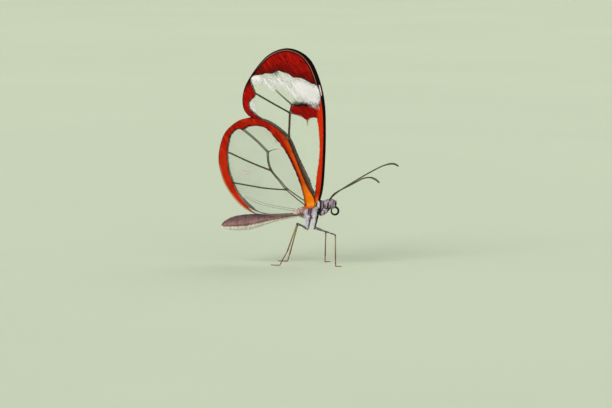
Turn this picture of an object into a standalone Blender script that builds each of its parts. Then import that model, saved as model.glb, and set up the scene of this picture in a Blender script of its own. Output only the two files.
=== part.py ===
"""Glasswing butterfly at rest with its wings closed, life size.

The head points to +X, the wings stand over the body and the feet rest on
Z = 0. Lengths are in metres; control points, radii in lists and the sizes of
the body's ends are in millimetres and are scaled by MM where they are used.
"""

import math

import bmesh
import bpy
from mathutils import Vector
from mathutils.geometry import delaunay_2d_cdt

MM = 0.001
GAP = 0.0003  # clearance between neighbouring pieces

# Wings
WING_THICKNESS = 0.0005
VEIN_HEIGHT = 0.00008
VEIN_WIDTH = 0.0004
FOREWING_Y = 0.00048  # middle of the membrane from the body's middle plane
HINDWING_STEP_OUT = 0.00096  # further out than the forewing where the two lie side by side
LEAN_IN_NEAR = 0.0004  # past the forewing's edge the hindwing leans back in,
LEAN_IN_FAR = 0.0042  # from the first distance to the second
BESIDE_ABDOMEN_Z = 0.0098  # it keeps its full step out below this height
ABOVE_ABDOMEN_Z = 0.0135  # and needs none for the abdomen above this one
ROOT_STEP_OUT = 0.00035  # the hindwing's root passes outside the thorax,
ROOT_Z = (0.0135, 0.0108)  # from none to all of that step going down
ROOT_X = (-0.0035, -0.0005)  # and forward
OUTLINE_STEPS = 4
VEIN_STEPS = 2
LATTICE_STEP = 0.0026
LATTICE_CLEAR = 0.35  # of a step between the lattice and any line

# Body
BODY_SIDES = 20
SHARP_ANGLE_DEG = 40
BODY_STEPS = 2  # rings between two given sections
ABDOMEN_STEPS = 3
SEGMENT_GROOVE = 0.00006
GROOVE_HALF_WIDTH = 0.16
HEAD_ENDS = (0.0, 0.13)  # how far each end bulges past the last ring, rear and front
THORAX_ENDS = (0.12, 0.22)
ABDOMEN_ENDS = (0.28, 0.0)
EYE_CENTRE = (4.72, 0.62, 11.12)
EYE_HALF_SIZE = (0.70, 0.66, 0.74)

# Limbs and feelers
LIMB_RADIUS = 0.00025
LIMB_SIDES = 8
COXA_SIDES = 10
FEELER_STEPS = 3  # rings between two given points
END_STEP = 0.6  # place and size of the ring that rounds a limb's end, in radii
END_SIZE = 0.75
FLOOR_WIDTH = 0.05
FLOOR_DEPTH = 0.002
PROBOSCIS_CENTRE = (5.31, 9.88)
PROBOSCIS_RADIUS = 0.00062
PROBOSCIS_ROOT = (4.95, 10.75)
PROBOSCIS_FROM_DEG = 75
PROBOSCIS_TURN_DEG = -250
PROBOSCIS_STEPS = 22

# Sections of the body: x, middle z, half height, half width
HEAD_SECTIONS = (
    (2.75, 10.95, 0.62, 0.50),
    (3.40, 11.05, 0.70, 0.54),
    (3.80, 11.10, 0.84, 0.62),
    (4.30, 11.12, 0.95, 0.66),
    (4.80, 11.12, 0.95, 0.66),
    (5.25, 11.08, 0.74, 0.58),
    (5.52, 11.02, 0.42, 0.38),
)
THORAX_SECTIONS = (
    (-0.85, 9.35, 0.50, 0.55),
    (-0.40, 9.52, 1.02, 1.00),
    (0.30, 9.78, 1.48, 1.30),
    (1.10, 10.05, 1.66, 1.35),
    (1.85, 10.32, 1.52, 1.32),
    (2.45, 10.62, 1.20, 1.15),
    (2.90, 10.86, 0.80, 0.82),
)
# x, top z, bottom z, half width
ABDOMEN_OUTLINE = (
    (-0.30, 9.75, 9.00, 0.42),
    (-1.40, 9.46, 8.62, 0.50),
    (-3.15, 9.37, 8.25, 0.64),
    (-5.00, 9.24, 7.80, 0.80),
    (-7.80, 9.13, 6.92, 1.04),
    (-10.40, 9.03, 6.10, 1.24),
    (-12.40, 8.78, 5.89, 1.26),
    (-13.70, 8.45, 5.90, 1.12),
    (-14.9, 7.86, 6.12, 0.78),
    (-15.5, 7.36, 6.40, 0.42),
)
ABDOMEN_JOINTS_X = (-3.15, -5.0, -7.8, -10.8, -12.3, -13.6)

# Wing outlines, x and z, from the root along the leading edge
FOREWING_OUTLINE = (
    (1.9, 10.3),
    (2.5, 11.6),
    (3.1, 14.0),
    (3.45, 18.5),
    (3.6, 24.0),
    (3.45, 28.8),
    (2.7, 32.7),
    (1.1, 36.5),
    (-1.1, 38.4),
    (-3.9, 39.0),
    (-6.9, 37.8),
    (-9.4, 35.1),
    (-11.3, 31.9),
    (-11.7, 29.0),
    (-10.8, 27.0),
    (-7.9, 25.2),
    (-5.1, 22.4),
    (-2.9, 19.0),
    (-0.9, 15.0),
    (0.7, 11.4),
    (1.0, 10.3),
)
HINDWING_OUTLINE = (
    (1.75, 10.4),
    (1.9, 12.0),
    (0.3, 14.9),
    (-1.8, 19.9),
    (-3.15, 22.8),
    (-5.0, 24.6),
    (-7.4, 26.0),
    (-10.0, 26.45),
    (-12.35, 25.9),
    (-14.6, 24.2),
    (-15.7, 22.1),
    (-16.2, 19.2),
    (-15.85, 16.6),
    (-14.85, 14.0),
    (-12.75, 11.4),
    (-9.95, 9.5),
    (-7.2, 8.85),
    (-3.5, 8.85),
    (-0.9, 9.1),
    (0.6, 9.4),
)
# Main veins, each a short run of points
FOREWING_VEINS = (
    (
        (1.95, 11.2),
        (2.65, 16.0),
        (2.9, 21.0),
        (2.75, 26.7),
        (2.75, 29.0),
        (1.5, 34.0),
        (-0.4, 36.9),
    ),
    ((1.6, 11.4), (0.8, 14.1), (-1.4, 19.2), (-3.0, 22.6), (-2.95, 27.4), (-9.3, 30.8)),
    ((-2.95, 27.4), (-1.8, 27.1), (0.2, 26.5), (2.75, 26.7)),
    ((-2.6, 28.9), (-2.95, 27.4)),
    ((-2.6, 28.9), (-6.0, 31.8), (-9.6, 33.5)),
    ((-2.6, 28.9), (-0.3, 29.1), (2.75, 29.0)),
    ((-1.6, 29.0), (-4.9, 34.2), (-6.9, 36.3)),
    ((-0.3, 29.1), (-2.3, 34.0), (-4.0, 37.5)),
    ((0.2, 26.5), (0.3, 25.0)),
    ((-3.0, 22.6), (-7.1, 25.0), (-10.1, 27.9)),
)
HINDWING_VEINS = (
    ((0.6, 10.9), (-0.4, 15.0), (-3.2, 20.6), (-6.2, 24.3), (-8.9, 25.5)),
    ((0.2, 10.9), (-3.4, 13.5), (-6.4, 16.9), (-7.1, 20.3), (-11.7, 24.3)),
    ((-7.1, 20.3), (-6.1, 20.7), (-5.2, 20.8)),
    ((-6.4, 16.9), (-10.2, 18.3), (-14.4, 20.1)),
    ((-3.4, 13.5), (-10.2, 14.1), (-13.5, 14.6)),
    ((0.0, 10.2), (-3.4, 10.0), (-7.8, 10.8), (-11.4, 12.2)),
)

# Feelers of the left side, x, y, z; each side has its own lift
LEFT_ANTENNA = (
    (4.45, 0.24, 11.5),
    (4.60, 0.32, 12.2),
    (5.60, 1.10, 13.2),
    (7.65, 2.80, 14.65),
    (10.65, 4.90, 16.55),
    (12.95, 6.15, 17.75),
    (14.50, 6.85, 18.05),
    (15.40, 7.20, 17.62),
)
RIGHT_ANTENNA = (
    (4.45, -0.24, 11.5),
    (4.65, -0.34, 12.2),
    (5.90, -1.30, 13.33),
    (9.50, -4.00, 15.12),
    (11.75, -5.50, 16.25),
    (13.25, -6.30, 16.55),
    (14.30, -6.80, 16.30),
    (15.10, -7.10, 15.75),
)
ANTENNA_RADII = (0.25, 0.25, 0.25, 0.25, 0.25, 0.29, 0.33, 0.24)
LEFT_PALP = ((4.95, 0.40, 10.75), (5.45, 0.62, 10.72), (5.80, 0.58, 11.15), (5.88, 0.50, 11.75))
PALP_RADII = (0.22, 0.23, 0.23, 0.12)
LEFT_FORELEG = (
    (2.55, 0.55, 10.35), (2.62, 0.64, 9.50), (2.98, 0.68, 9.05), (3.45, 0.70, 9.25), (3.95, 0.74, 9.90),
)
FORELEG_RADII = (0.26, 0.25, 0.24, 0.24, 0.18)

# Walking legs, x, y, z of the joints down each
COXA_RADII = (0.46, 0.27)
FEMUR_RADII = (0.27, 0.25)
SHIN_RADII = (0.26, 0.25)
TARSUS_RADII = (0.25, 0.25, 0.22)
LEGS = {
    "midleg_right": {
        "hip": (2.00, -0.80, 9.7),
        "trochanter": (1.58, -0.85, 6.80),
        "knee": (5.79, -1.50, 5.71),
        "ankle": (5.89, -1.75, 1.54),
        "heel": (5.92, -1.80, 0.45),
        "toe": (6.95, -1.95, 0.18),
    },
    "midleg_left": {
        "hip": (2.00, 0.80, 9.7),
        "trochanter": (1.58, 0.85, 6.80),
        "knee": (2.45, 5.05, 5.55),
        "ankle": (2.30, 5.20, 1.30),
        "heel": (2.28, 5.20, 0.45),
        "toe": (3.10, 5.45, 0.18),
    },
    "hindleg_right": {
        "hip": (0.70, -0.80, 9.5),
        "trochanter": (0.32, -0.85, 6.59),
        "knee": (-0.82, -3.20, 7.81),
        "ankle": (-2.70, -3.00, 2.69),
        "heel": (-4.20, -2.80, 0.30),
        "toe": (-5.75, -2.70, 0.18),
    },
    "hindleg_left": {
        "hip": (0.70, 0.80, 9.5),
        "trochanter": (0.32, 0.85, 6.59),
        "knee": (-2.62, 4.20, 6.82),
        "ankle": (-4.13, 4.30, 1.40),
        "heel": (-4.60, 4.40, 0.30),
        "toe": (-6.25, 4.60, 0.18),
    },
}

COLOURS = {
    "head": (0.30, 0.24, 0.28),
    "eye": (0.05, 0.03, 0.03),
    "palp": (0.45, 0.38, 0.42),
    "antenna": (0.20, 0.19, 0.06),
    "proboscis": (0.01, 0.01, 0.01),
    "thorax": (0.16, 0.08, 0.07),
    "abdomen": (0.30, 0.17, 0.15),
    "forewing": (0.62, 0.30, 0.20),
    "hindwing": (0.66, 0.36, 0.18),
    "foreleg": (0.62, 0.58, 0.60),
    "midleg": (0.35, 0.27, 0.20),
    "hindleg": (0.35, 0.28, 0.18),
}


# Setting up

def clear_scene():
    for obj in list(bpy.data.objects):
        bpy.data.objects.remove(obj, do_unlink=True)


def add_object(name, mesh):
    obj = bpy.data.objects.new(name, mesh)
    bpy.context.scene.collection.objects.link(obj)
    return obj


def mesh_from(name, points, faces):
    """A mesh with its faces turned outward."""
    mesh = bpy.data.meshes.new(name)
    mesh.from_pydata([tuple(p) for p in points], [], faces)
    work = bmesh.new()
    work.from_mesh(mesh)
    bmesh.ops.recalc_face_normals(work, faces=work.faces)
    work.to_mesh(mesh)
    work.free()
    return mesh


def finish(obj):
    """Smooth shading and the piece's own material."""
    obj.data.shade_smooth()
    obj.data.set_sharp_from_angle(angle=math.radians(SHARP_ANGLE_DEG))
    kind = obj.name.split("_")[0]
    material = bpy.data.materials.new(obj.name)
    material.use_nodes = True
    shader = material.node_tree.nodes["Principled BSDF"]
    shader.inputs["Base Color"].default_value = (*COLOURS[kind], 1.0)
    shader.inputs["Roughness"].default_value = 0.3 if kind in ("eye", "proboscis") else 0.7
    shader.inputs["Metallic"].default_value = 0.0
    obj.data.materials.clear()
    obj.data.materials.append(material)
    return obj


# Joining and cutting

def apply_modifiers(obj):
    graph = bpy.context.evaluated_depsgraph_get()
    made = bpy.data.meshes.new_from_object(obj.evaluated_get(graph))
    obj.modifiers.clear()
    obj.data = made


def keep_largest(obj):
    """Drops every closed surface but the largest."""
    work = bmesh.new()
    work.from_mesh(obj.data)
    unseen = set(work.faces)
    surfaces = []
    while unseen:
        first = unseen.pop()
        surface = [first]
        waiting = [first]
        while waiting:
            for edge in waiting.pop().edges:
                for face in edge.link_faces:
                    if face in unseen:
                        unseen.discard(face)
                        surface.append(face)
                        waiting.append(face)
        surfaces.append(surface)
    surfaces.sort(key=lambda faces: sum(face.calc_area() for face in faces))
    for surface in surfaces[:-1]:
        bmesh.ops.delete(work, geom=surface, context="FACES")
    work.to_mesh(obj.data)
    work.free()


def use_boolean(obj, others, operation):
    group = bpy.data.collections.new(obj.name + "_" + operation.lower())
    for other in others:
        bpy.context.scene.collection.objects.unlink(other)
        group.objects.link(other)
    modifier = obj.modifiers.new(operation.title(), "BOOLEAN")
    modifier.operation = operation
    modifier.operand_type = "COLLECTION"
    modifier.collection = group
    modifier.solver = "EXACT"
    bpy.context.scene.collection.children.link(group)
    bpy.context.view_layer.update()
    apply_modifiers(obj)
    for other in others:
        bpy.data.objects.remove(other, do_unlink=True)
    bpy.data.collections.remove(group)


def joined(name, meshes):
    """One closed body made of several that overlap."""
    obj = add_object(name, meshes[0])
    if len(meshes) > 1:
        use_boolean(obj, [add_object(name + "_piece", mesh) for mesh in meshes[1:]], "UNION")
    keep_largest(obj)
    return obj


def cut_clear(obj, meshes):
    """Takes away all that lies in these closed forms."""
    for mesh in meshes:
        use_boolean(obj, [add_object(obj.name + "_cut", mesh)], "DIFFERENCE")
    keep_largest(obj)


# Basic forms

def smooth_run(points, steps, closed=False):
    """Points on a smooth curve through the given ones."""
    count = len(points)
    found = []
    for i in range(count if closed else count - 1):
        if closed:
            a, b, c, d = (points[(i + k) % count] for k in (-1, 0, 1, 2))
        else:
            a, b, c, d = (points[min(max(i + k, 0), count - 1)] for k in (-1, 0, 1, 2))
        for step in range(steps):
            t = step / steps
            found.append(tuple(
                q + 0.5 * ((r - p) * t + (2 * p - 5 * q + 4 * r - s) * t**2 + (3 * q - p - 3 * r + s) * t**3)
                for p, q, r, s in zip(a, b, c, d)
            ))
    if not closed:
        found.append(tuple(points[-1]))
    return found


def skin_rings(rings, start, end):
    """Points and faces of a closed form through rings of equal count, with a point at each end."""
    sides = len(rings[0])
    points = [point for ring in rings for point in ring] + [start, end]
    first = len(points) - 2
    last = len(points) - 1
    faces = []
    for i in range(len(rings) - 1):
        for k in range(sides):
            here = i * sides + k
            beside = i * sides + (k + 1) % sides
            faces.append((here, beside, beside + sides, here + sides))
    base = (len(rings) - 1) * sides
    for k in range(sides):
        faces.append((first, (k + 1) % sides, k))
        faces.append((last, base + k, base + (k + 1) % sides))
    return points, faces


def body_mesh(name, sections, ends, grow=0.0, sides=BODY_SIDES):
    """Upright oval rings along X; ends are how far the rear and front bulge past the last rings."""
    rear, front = ends
    rings = []
    for x, z, half_height, half_width in sections:
        rings.append([
            Vector((
                x * MM,
                (half_width * MM + grow) * math.cos(math.tau * k / sides),
                z * MM + (half_height * MM + grow) * math.sin(math.tau * k / sides),
            ))
            for k in range(sides)
        ])
    tail = Vector((min(s[0] for s in sections) * MM - rear * MM - grow, 0, 0))
    nose = Vector((max(s[0] for s in sections) * MM + front * MM + grow, 0, 0))
    tail.z = sections[0][1] * MM
    nose.z = sections[-1][1] * MM
    return mesh_from(name, *skin_rings(rings, tail, nose))


def tube_mesh(name, points, radii, sides=LIMB_SIDES):
    """A round tube through points in metres, with rounded ends."""
    points = [Vector(p) for p in points]
    rings = []
    side = None
    count = len(points)
    for i, point in enumerate(points):
        ahead = points[min(i + 1, count - 1)] - points[max(i - 1, 0)]
        ahead.normalize()
        if side is None:
            side = ahead.orthogonal().normalized()
        side = (side - ahead * side.dot(ahead)).normalized()
        across = ahead.cross(side)
        if i == 0:
            rings.append(end_ring(point, -ahead, side, across, radii[0], sides))
            start = point - ahead * radii[0]
        rings.append(ring_at(point, side, across, radii[i], sides))
        if i == count - 1:
            rings.append(end_ring(point, ahead, side, across, radii[i], sides))
            end = point + ahead * radii[i]
    return mesh_from(name, *skin_rings(rings, start, end))


def end_ring(point, outward, side, across, radius, sides):
    """The smaller ring that rounds a limb's end."""
    return ring_at(point + outward * radius * END_STEP, side, across, radius * END_SIZE, sides)


def ring_at(centre, side, across, radius, sides):
    return [
        centre + (side * math.cos(math.tau * k / sides) + across * math.sin(math.tau * k / sides)) * radius
        for k in range(sides)
    ]


def in_metres(points):
    return [tuple(value * MM for value in point) for point in points]


def mirrored(points):
    return tuple((x, -y, z) for x, y, z in points)


# Head, thorax and abdomen

def thorax_mesh(grow=0.0):
    return body_mesh("thorax", smooth_run(THORAX_SECTIONS, BODY_STEPS), THORAX_ENDS, grow)


def head_mesh(grow=0.0):
    return body_mesh("head", smooth_run(HEAD_SECTIONS, BODY_STEPS), HEAD_ENDS, grow)


def abdomen_sections():
    """Rings along the abdomen, drawn in a little at each joint between two segments."""
    outline = smooth_run(ABDOMEN_OUTLINE, ABDOMEN_STEPS)
    places = sorted({round(x, 3) for x, _, _, _ in outline}, reverse=True)
    for joint in ABDOMEN_JOINTS_X:
        places = [x for x in places if abs(x - joint) > 2 * GROOVE_HALF_WIDTH]
        places += [joint - GROOVE_HALF_WIDTH, joint, joint + GROOVE_HALF_WIDTH]
    sections = []
    for x in sorted(places):
        top, bottom, half_width = read_outline(outline, x)
        groove = SEGMENT_GROOVE / MM if x in ABDOMEN_JOINTS_X else 0.0
        sections.append((x, (top + bottom) / 2, (top - bottom) / 2 - groove, half_width - groove))
    return sections


def read_outline(outline, x):
    for ahead, behind in zip(outline, outline[1:]):
        if behind[0] <= x <= ahead[0]:
            t = (ahead[0] - x) / (ahead[0] - behind[0])
            return tuple(a + (b - a) * t for a, b in zip(ahead[1:], behind[1:]))
    return outline[-1][1:]


def abdomen_mesh(grow=0.0):
    return body_mesh("abdomen", abdomen_sections(), ABDOMEN_ENDS, grow)


def ellipsoid_mesh(name, centre, half_size, segments=14, rings=9):
    mesh = bpy.data.meshes.new(name)
    work = bmesh.new()
    bmesh.ops.create_uvsphere(work, u_segments=segments, v_segments=rings, radius=1.0)
    for vert in work.verts:
        vert.co = Vector([c * MM + h * MM * v for c, h, v in zip(centre, half_size, vert.co)])
    work.to_mesh(mesh)
    work.free()
    return mesh


def make_body():
    finish(joined("thorax", [thorax_mesh()]))
    head = joined("head", [head_mesh()])
    cut_clear(head, [thorax_mesh(GAP)])
    finish(head)
    abdomen = joined("abdomen", [abdomen_mesh()])
    cut_clear(abdomen, [thorax_mesh(GAP)])
    finish(abdomen)


def make_head_pieces():
    for side, sign in (("left", 1), ("right", -1)):
        x, y, z = EYE_CENTRE
        eye = joined("eye_" + side, [ellipsoid_mesh("eye", (x, sign * y, z), EYE_HALF_SIZE)])
        cut_clear(eye, [head_mesh(GAP)])
        finish(eye)
        palp_points = LEFT_PALP if sign > 0 else mirrored(LEFT_PALP)
        palp = feeler("palp_" + side, palp_points, PALP_RADII)
        cut_clear(palp, [head_mesh(GAP)])
        finish(palp)
    for side, points in (("left", LEFT_ANTENNA), ("right", RIGHT_ANTENNA)):
        antenna = feeler("antenna_" + side, points, ANTENNA_RADII)
        cut_clear(antenna, [head_mesh(GAP)])
        finish(antenna)


def feeler(name, points, radii):
    """A tapering tube on a smooth curve through a few points."""
    run = smooth_run([(*point, radius) for point, radius in zip(points, radii)], FEELER_STEPS)
    return joined(name, [tube_mesh(name, in_metres([p[:3] for p in run]), [p[3] * MM for p in run])])


def make_proboscis():
    """The coiled tongue, a ring that leaves the front of the head and curls down and back."""
    x, z = PROBOSCIS_CENTRE
    points = [(PROBOSCIS_ROOT[0] * MM, 0, PROBOSCIS_ROOT[1] * MM)]
    for step in range(PROBOSCIS_STEPS + 1):
        angle = math.radians(PROBOSCIS_FROM_DEG + PROBOSCIS_TURN_DEG * step / PROBOSCIS_STEPS)
        points.append((
            x * MM + PROBOSCIS_RADIUS * math.cos(angle),
            0,
            z * MM + PROBOSCIS_RADIUS * math.sin(angle),
        ))
    proboscis = joined("proboscis", [tube_mesh("proboscis", points, [LIMB_RADIUS] * len(points))])
    cut_clear(proboscis, [head_mesh(GAP)])
    finish(proboscis)


# Legs

def floor_block():
    mesh = bpy.data.meshes.new("floor_block")
    work = bmesh.new()
    bmesh.ops.create_cube(work, size=1.0)
    for vert in work.verts:
        vert.co.z -= 0.5
        vert.co = vert.co * Vector((FLOOR_WIDTH, FLOOR_WIDTH, FLOOR_DEPTH))
    work.to_mesh(mesh)
    work.free()
    return mesh


def make_walking_legs():
    for name, joints in LEGS.items():
        hip, trochanter, knee, ankle, heel, toe = in_metres(joints.values())
        pieces = [
            tube_mesh("coxa", [hip, trochanter], [r * MM for r in COXA_RADII], COXA_SIDES),
            tube_mesh("femur", [trochanter, knee], [r * MM for r in FEMUR_RADII]),
            tube_mesh("shin", [knee, ankle], [r * MM for r in SHIN_RADII]),
            tube_mesh("tarsus", [ankle, heel, toe], [r * MM for r in TARSUS_RADII]),
        ]
        leg = joined(name, pieces)
        cut_clear(leg, [thorax_mesh(GAP), floor_block()])
        finish(leg)


def make_forelegs():
    """The short front legs, folded against the chest."""
    for side, points in (("left", LEFT_FORELEG), ("right", mirrored(LEFT_FORELEG))):
        foreleg = feeler("foreleg_" + side, points, FORELEG_RADII)
        cut_clear(foreleg, [thorax_mesh(GAP), head_mesh(GAP)])
        finish(foreleg)


# Wings

def soft_step(value, low, high):
    """0 at low and 1 at high with soft ends; low may be the larger."""
    t = min(max((value - low) / (high - low), 0.0), 1.0)
    return t * t * (3 - 2 * t)


def hindwing_y(spot, forewing_outline):
    """Outside the forewing where they lie together and beside the abdomen, leaning back in elsewhere."""
    past = 0.0
    if not inside(spot, forewing_outline):
        past = distance_to_run(spot, forewing_outline + forewing_outline[:1])
    over_forewing = soft_step(past, LEAN_IN_FAR, LEAN_IN_NEAR)
    beside_abdomen = soft_step(spot.y, ABOVE_ABDOMEN_Z, BESIDE_ABDOMEN_Z)
    step_out = HINDWING_STEP_OUT * (1 - (1 - over_forewing) * (1 - beside_abdomen))
    at_root = soft_step(spot.y, *ROOT_Z) * soft_step(spot.x, *ROOT_X)
    return FOREWING_Y + step_out + ROOT_STEP_OUT * at_root


def distance_to_run(point, run):
    nearest = 1.0
    for a, b in zip(run, run[1:]):
        along = b - a
        t = min(max((point - a).dot(along) / along.length_squared, 0.0), 1.0)
        nearest = min(nearest, (a + along * t - point).length)
    return nearest


def inside(point, outline):
    hit = False
    for a, b in zip(outline, outline[1:] + outline[:1]):
        if (a.y > point.y) != (b.y > point.y):
            if point.x < a.x + (b.x - a.x) * (point.y - a.y) / (b.y - a.y):
                hit = not hit
    return hit


def vein_lines(run):
    """The vein's middle line and its two foot lines."""
    half = VEIN_WIDTH / 2
    left = []
    right = []
    for i, point in enumerate(run):
        along = (run[min(i + 1, len(run) - 1)] - run[max(i - 1, 0)]).normalized()
        across = Vector((-along.y, along.x)) * half
        left.append(point + across)
        right.append(point - across)
    return run, left, right


def wing_plan(outline, veins):
    """Triangles of the wing seen from the side, with every vein's lines in them."""
    points = list(outline)
    edges = []
    edge_of_wing = list(range(len(outline)))
    for vein in veins:
        for line in vein_lines(vein):
            first = len(points)
            points.extend(line)
            edges.extend((first + i, first + i + 1) for i in range(len(line) - 1))
    low = Vector((min(p.x for p in outline), min(p.y for p in outline)))
    high = Vector((max(p.x for p in outline), max(p.y for p in outline)))
    rows = int((high.y - low.y) / LATTICE_STEP) + 1
    columns = int((high.x - low.x) / LATTICE_STEP) + 1
    rim = outline + outline[:1]
    for row in range(1, rows):
        for column in range(1, columns):
            spot = low + Vector(((column + 0.5 * (row % 2)) * LATTICE_STEP, row * LATTICE_STEP))
            clear = min([distance_to_run(spot, rim)] + [distance_to_run(spot, vein) for vein in veins])
            if inside(spot, outline) and clear > LATTICE_STEP * LATTICE_CLEAR:
                points.append(spot)
    plan, _, faces, _, _, _ = delaunay_2d_cdt(points, edges, [edge_of_wing], 1, 1e-6)
    return plan, faces


def smooth_outline(points):
    return [Vector(p) * MM for p in smooth_run(points, OUTLINE_STEPS, closed=True)]


def wing_mesh(name, outline, vein_points, middle_y, sign):
    """A membrane with raised veins; middle_y gives how far out each spot of it lies."""
    veins = [[Vector(p) * MM for p in smooth_run(run, VEIN_STEPS)] for run in vein_points]
    plan, faces = wing_plan(outline, veins)
    points = []
    for face_side in (1, -1):
        for spot in plan:
            near = min(distance_to_run(spot, vein) for vein in veins)
            ridge = VEIN_HEIGHT * max(0.0, 1 - near / (VEIN_WIDTH / 2))
            y = middle_y(spot) + face_side * (WING_THICKNESS / 2 + ridge)
            points.append((spot.x, sign * y, spot.y))
    count = len(plan)
    solid = [tuple(face) for face in faces] + [tuple(count + i for i in reversed(face)) for face in faces]
    uses = {}
    for face in faces:
        for a, b in zip(face, face[1:] + face[:1]):
            uses.setdefault((min(a, b), max(a, b)), []).append((a, b))
    for found in uses.values():
        if len(found) == 1:
            a, b = found[0]
            solid.append((b, a, a + count))
            solid.append((b, a + count, b + count))
    return mesh_from(name, points, solid)


def make_wings():
    forewing = smooth_outline(FOREWING_OUTLINE)
    hindwing = smooth_outline(HINDWING_OUTLINE)
    kinds = (
        ("forewing", forewing, FOREWING_VEINS, lambda spot: FOREWING_Y),
        ("hindwing", hindwing, HINDWING_VEINS, lambda spot: hindwing_y(spot, forewing)),
    )
    for kind, outline, veins, middle_y in kinds:
        for side, sign in (("left", 1), ("right", -1)):
            wing = joined(kind + "_" + side, [wing_mesh(kind, outline, veins, middle_y, sign)])
            cut_clear(wing, [thorax_mesh(GAP)])
            finish(wing)


def centre_over_origin():
    """Moves the whole model so that the middle of its base is the origin."""
    nodes = [obj for obj in bpy.context.scene.objects if obj.type == "MESH"]
    corners = [vert.co for obj in nodes for vert in obj.data.vertices]
    middle = Vector((
        (min(p.x for p in corners) + max(p.x for p in corners)) / 2,
        (min(p.y for p in corners) + max(p.y for p in corners)) / 2,
        min(p.z for p in corners),
    ))
    for obj in nodes:
        for vert in obj.data.vertices:
            vert.co -= middle


def main():
    clear_scene()
    make_body()
    make_head_pieces()
    make_proboscis()
    make_forelegs()
    make_walking_legs()
    make_wings()
    centre_over_origin()


main()
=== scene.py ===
import math

import bpy
import numpy as np
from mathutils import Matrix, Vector
from mathutils.geometry import delaunay_2d_cdt


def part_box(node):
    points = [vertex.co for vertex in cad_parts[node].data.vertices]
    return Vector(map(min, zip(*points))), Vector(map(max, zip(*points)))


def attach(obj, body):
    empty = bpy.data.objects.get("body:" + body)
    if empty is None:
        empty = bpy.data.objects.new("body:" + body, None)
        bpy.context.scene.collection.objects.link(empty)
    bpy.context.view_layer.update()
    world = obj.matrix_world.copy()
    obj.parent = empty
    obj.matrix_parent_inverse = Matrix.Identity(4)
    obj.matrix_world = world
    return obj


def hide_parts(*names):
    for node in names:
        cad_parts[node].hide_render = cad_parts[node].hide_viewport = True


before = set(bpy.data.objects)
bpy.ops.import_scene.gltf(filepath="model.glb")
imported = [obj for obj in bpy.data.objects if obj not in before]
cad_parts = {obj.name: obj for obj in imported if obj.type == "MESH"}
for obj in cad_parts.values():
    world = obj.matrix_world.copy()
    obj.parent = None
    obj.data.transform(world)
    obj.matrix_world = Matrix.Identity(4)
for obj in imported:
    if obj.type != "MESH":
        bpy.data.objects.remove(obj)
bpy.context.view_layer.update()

mm = 0.001
scene = bpy.context.scene


# Curves and distances, in millimetres

# points on a smooth curve through the given ones
def smoothRun(points, steps, closed=False):
    points = np.array(points, float)
    count = len(points)
    index = np.arange(count if closed else count - 1)
    if closed:
        a, b, c, d = (points[(index + k) % count] for k in (-1, 0, 1, 2))
    else:
        a, b, c, d = (points[np.clip(index + k, 0, count - 1)] for k in (-1, 0, 1, 2))
    rows = []
    for step in range(steps):
        t = step / steps
        rows.append(0.5 * (2 * b + (c - a) * t + (2 * a - 5 * b + 4 * c - d) * t**2
                           + (3 * b - a - 3 * c + d) * t**3))
    run = np.stack(rows, 1).reshape(-1, points.shape[1])
    return run if closed else np.vstack([run, points[-1]])


def distanceToLine(points, line):
    a, ab = line[:-1], line[1:] - line[:-1]
    t = ((points[:, None] - a) * ab).sum(2) / np.maximum((ab**2).sum(1), 1e-12)
    gap = points[:, None] - (a + np.clip(t, 0, 1)[..., None] * ab)
    return np.sqrt((gap**2).sum(2)).min(1)


def isInside(points, loop):
    a, b = loop, np.roll(loop, -1, 0)
    x, z = points[:, 0, None], points[:, 1, None]
    crosses = (a[:, 1] > z) != (b[:, 1] > z)
    rise = np.where(b[:, 1] == a[:, 1], 1e-9, b[:, 1] - a[:, 1])
    return (crosses & (x < a[:, 0] + (b[:, 0] - a[:, 0]) * (z - a[:, 1]) / rise)).sum(1) % 2 == 1


# positive inside the loop
def depthIn(points, loop):
    depth = distanceToLine(points, np.vstack([loop, loop[:1]]))
    return np.where(isInside(points, loop), depth, -depth)


# 0 at low and 1 at high, with soft ends; low may be the larger
def soft(value, low, high):
    t = np.clip((value - low) / (high - low), 0, 1)
    return t * t * (3 - 2 * t)


def unit(vectors):
    return vectors / np.linalg.norm(vectors, axis=-1, keepdims=True)


# how far along the run each of its points lies
def lengthAlong(run):
    return np.concatenate([[0], np.cumsum(np.linalg.norm(np.diff(run, axis=0), axis=1))])


def pointsAt(t, lengths, run):
    return np.stack([np.interp(t, lengths, run[:, k]) for k in range(3)], 1)


# Meshes

def addMesh(name, points, faces, smooth=True):
    mesh = bpy.data.meshes.new(name)
    faces = faces if isinstance(faces, list) else faces.tolist()
    mesh.from_pydata(np.asarray(points, float).tolist(), [], faces)
    mesh.polygons.foreach_set("use_smooth", [smooth] * len(mesh.polygons))
    mesh.update()
    piece = bpy.data.objects.new(name, mesh)
    scene.collection.objects.link(piece)
    return piece


def addValue(piece, name, values):
    layer = piece.data.attributes.new(name, "FLOAT", "POINT")
    layer.data.foreach_set("value", np.asarray(values, np.float32))


# takes a material, rides on the one body and stands for CAD nodes
def settle(piece, material, slot, *nodes):
    piece.data.materials.append(material)
    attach(piece, "root")
    if nodes:
        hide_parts(*nodes)


# Shader building

# screen colour, 0 to 255, as linear light
def rgb(*levels):
    return (*(v / 255 / 12.92 if v < 10 else ((v / 255 + 0.055) / 1.055) ** 2.4 for v in levels), 1.0)


def fill(tree, node, inputs):
    for key, value in inputs.items():
        if isinstance(value, bpy.types.NodeSocket):
            tree.links.new(value, node.inputs[key])
        else:
            node.inputs[key].default_value = value


def addNode(tree, kind, inputs=None, **settings):
    made = tree.nodes.new("ShaderNode" + kind)
    for key, value in settings.items():
        setattr(made, key, value)
    fill(tree, made, inputs or {})
    return made


def calc(tree, operation, a, b=0.0, c=0.0):
    return addNode(tree, "Math", {0: a, 1: b, 2: c}, operation=operation).outputs[0]


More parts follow.
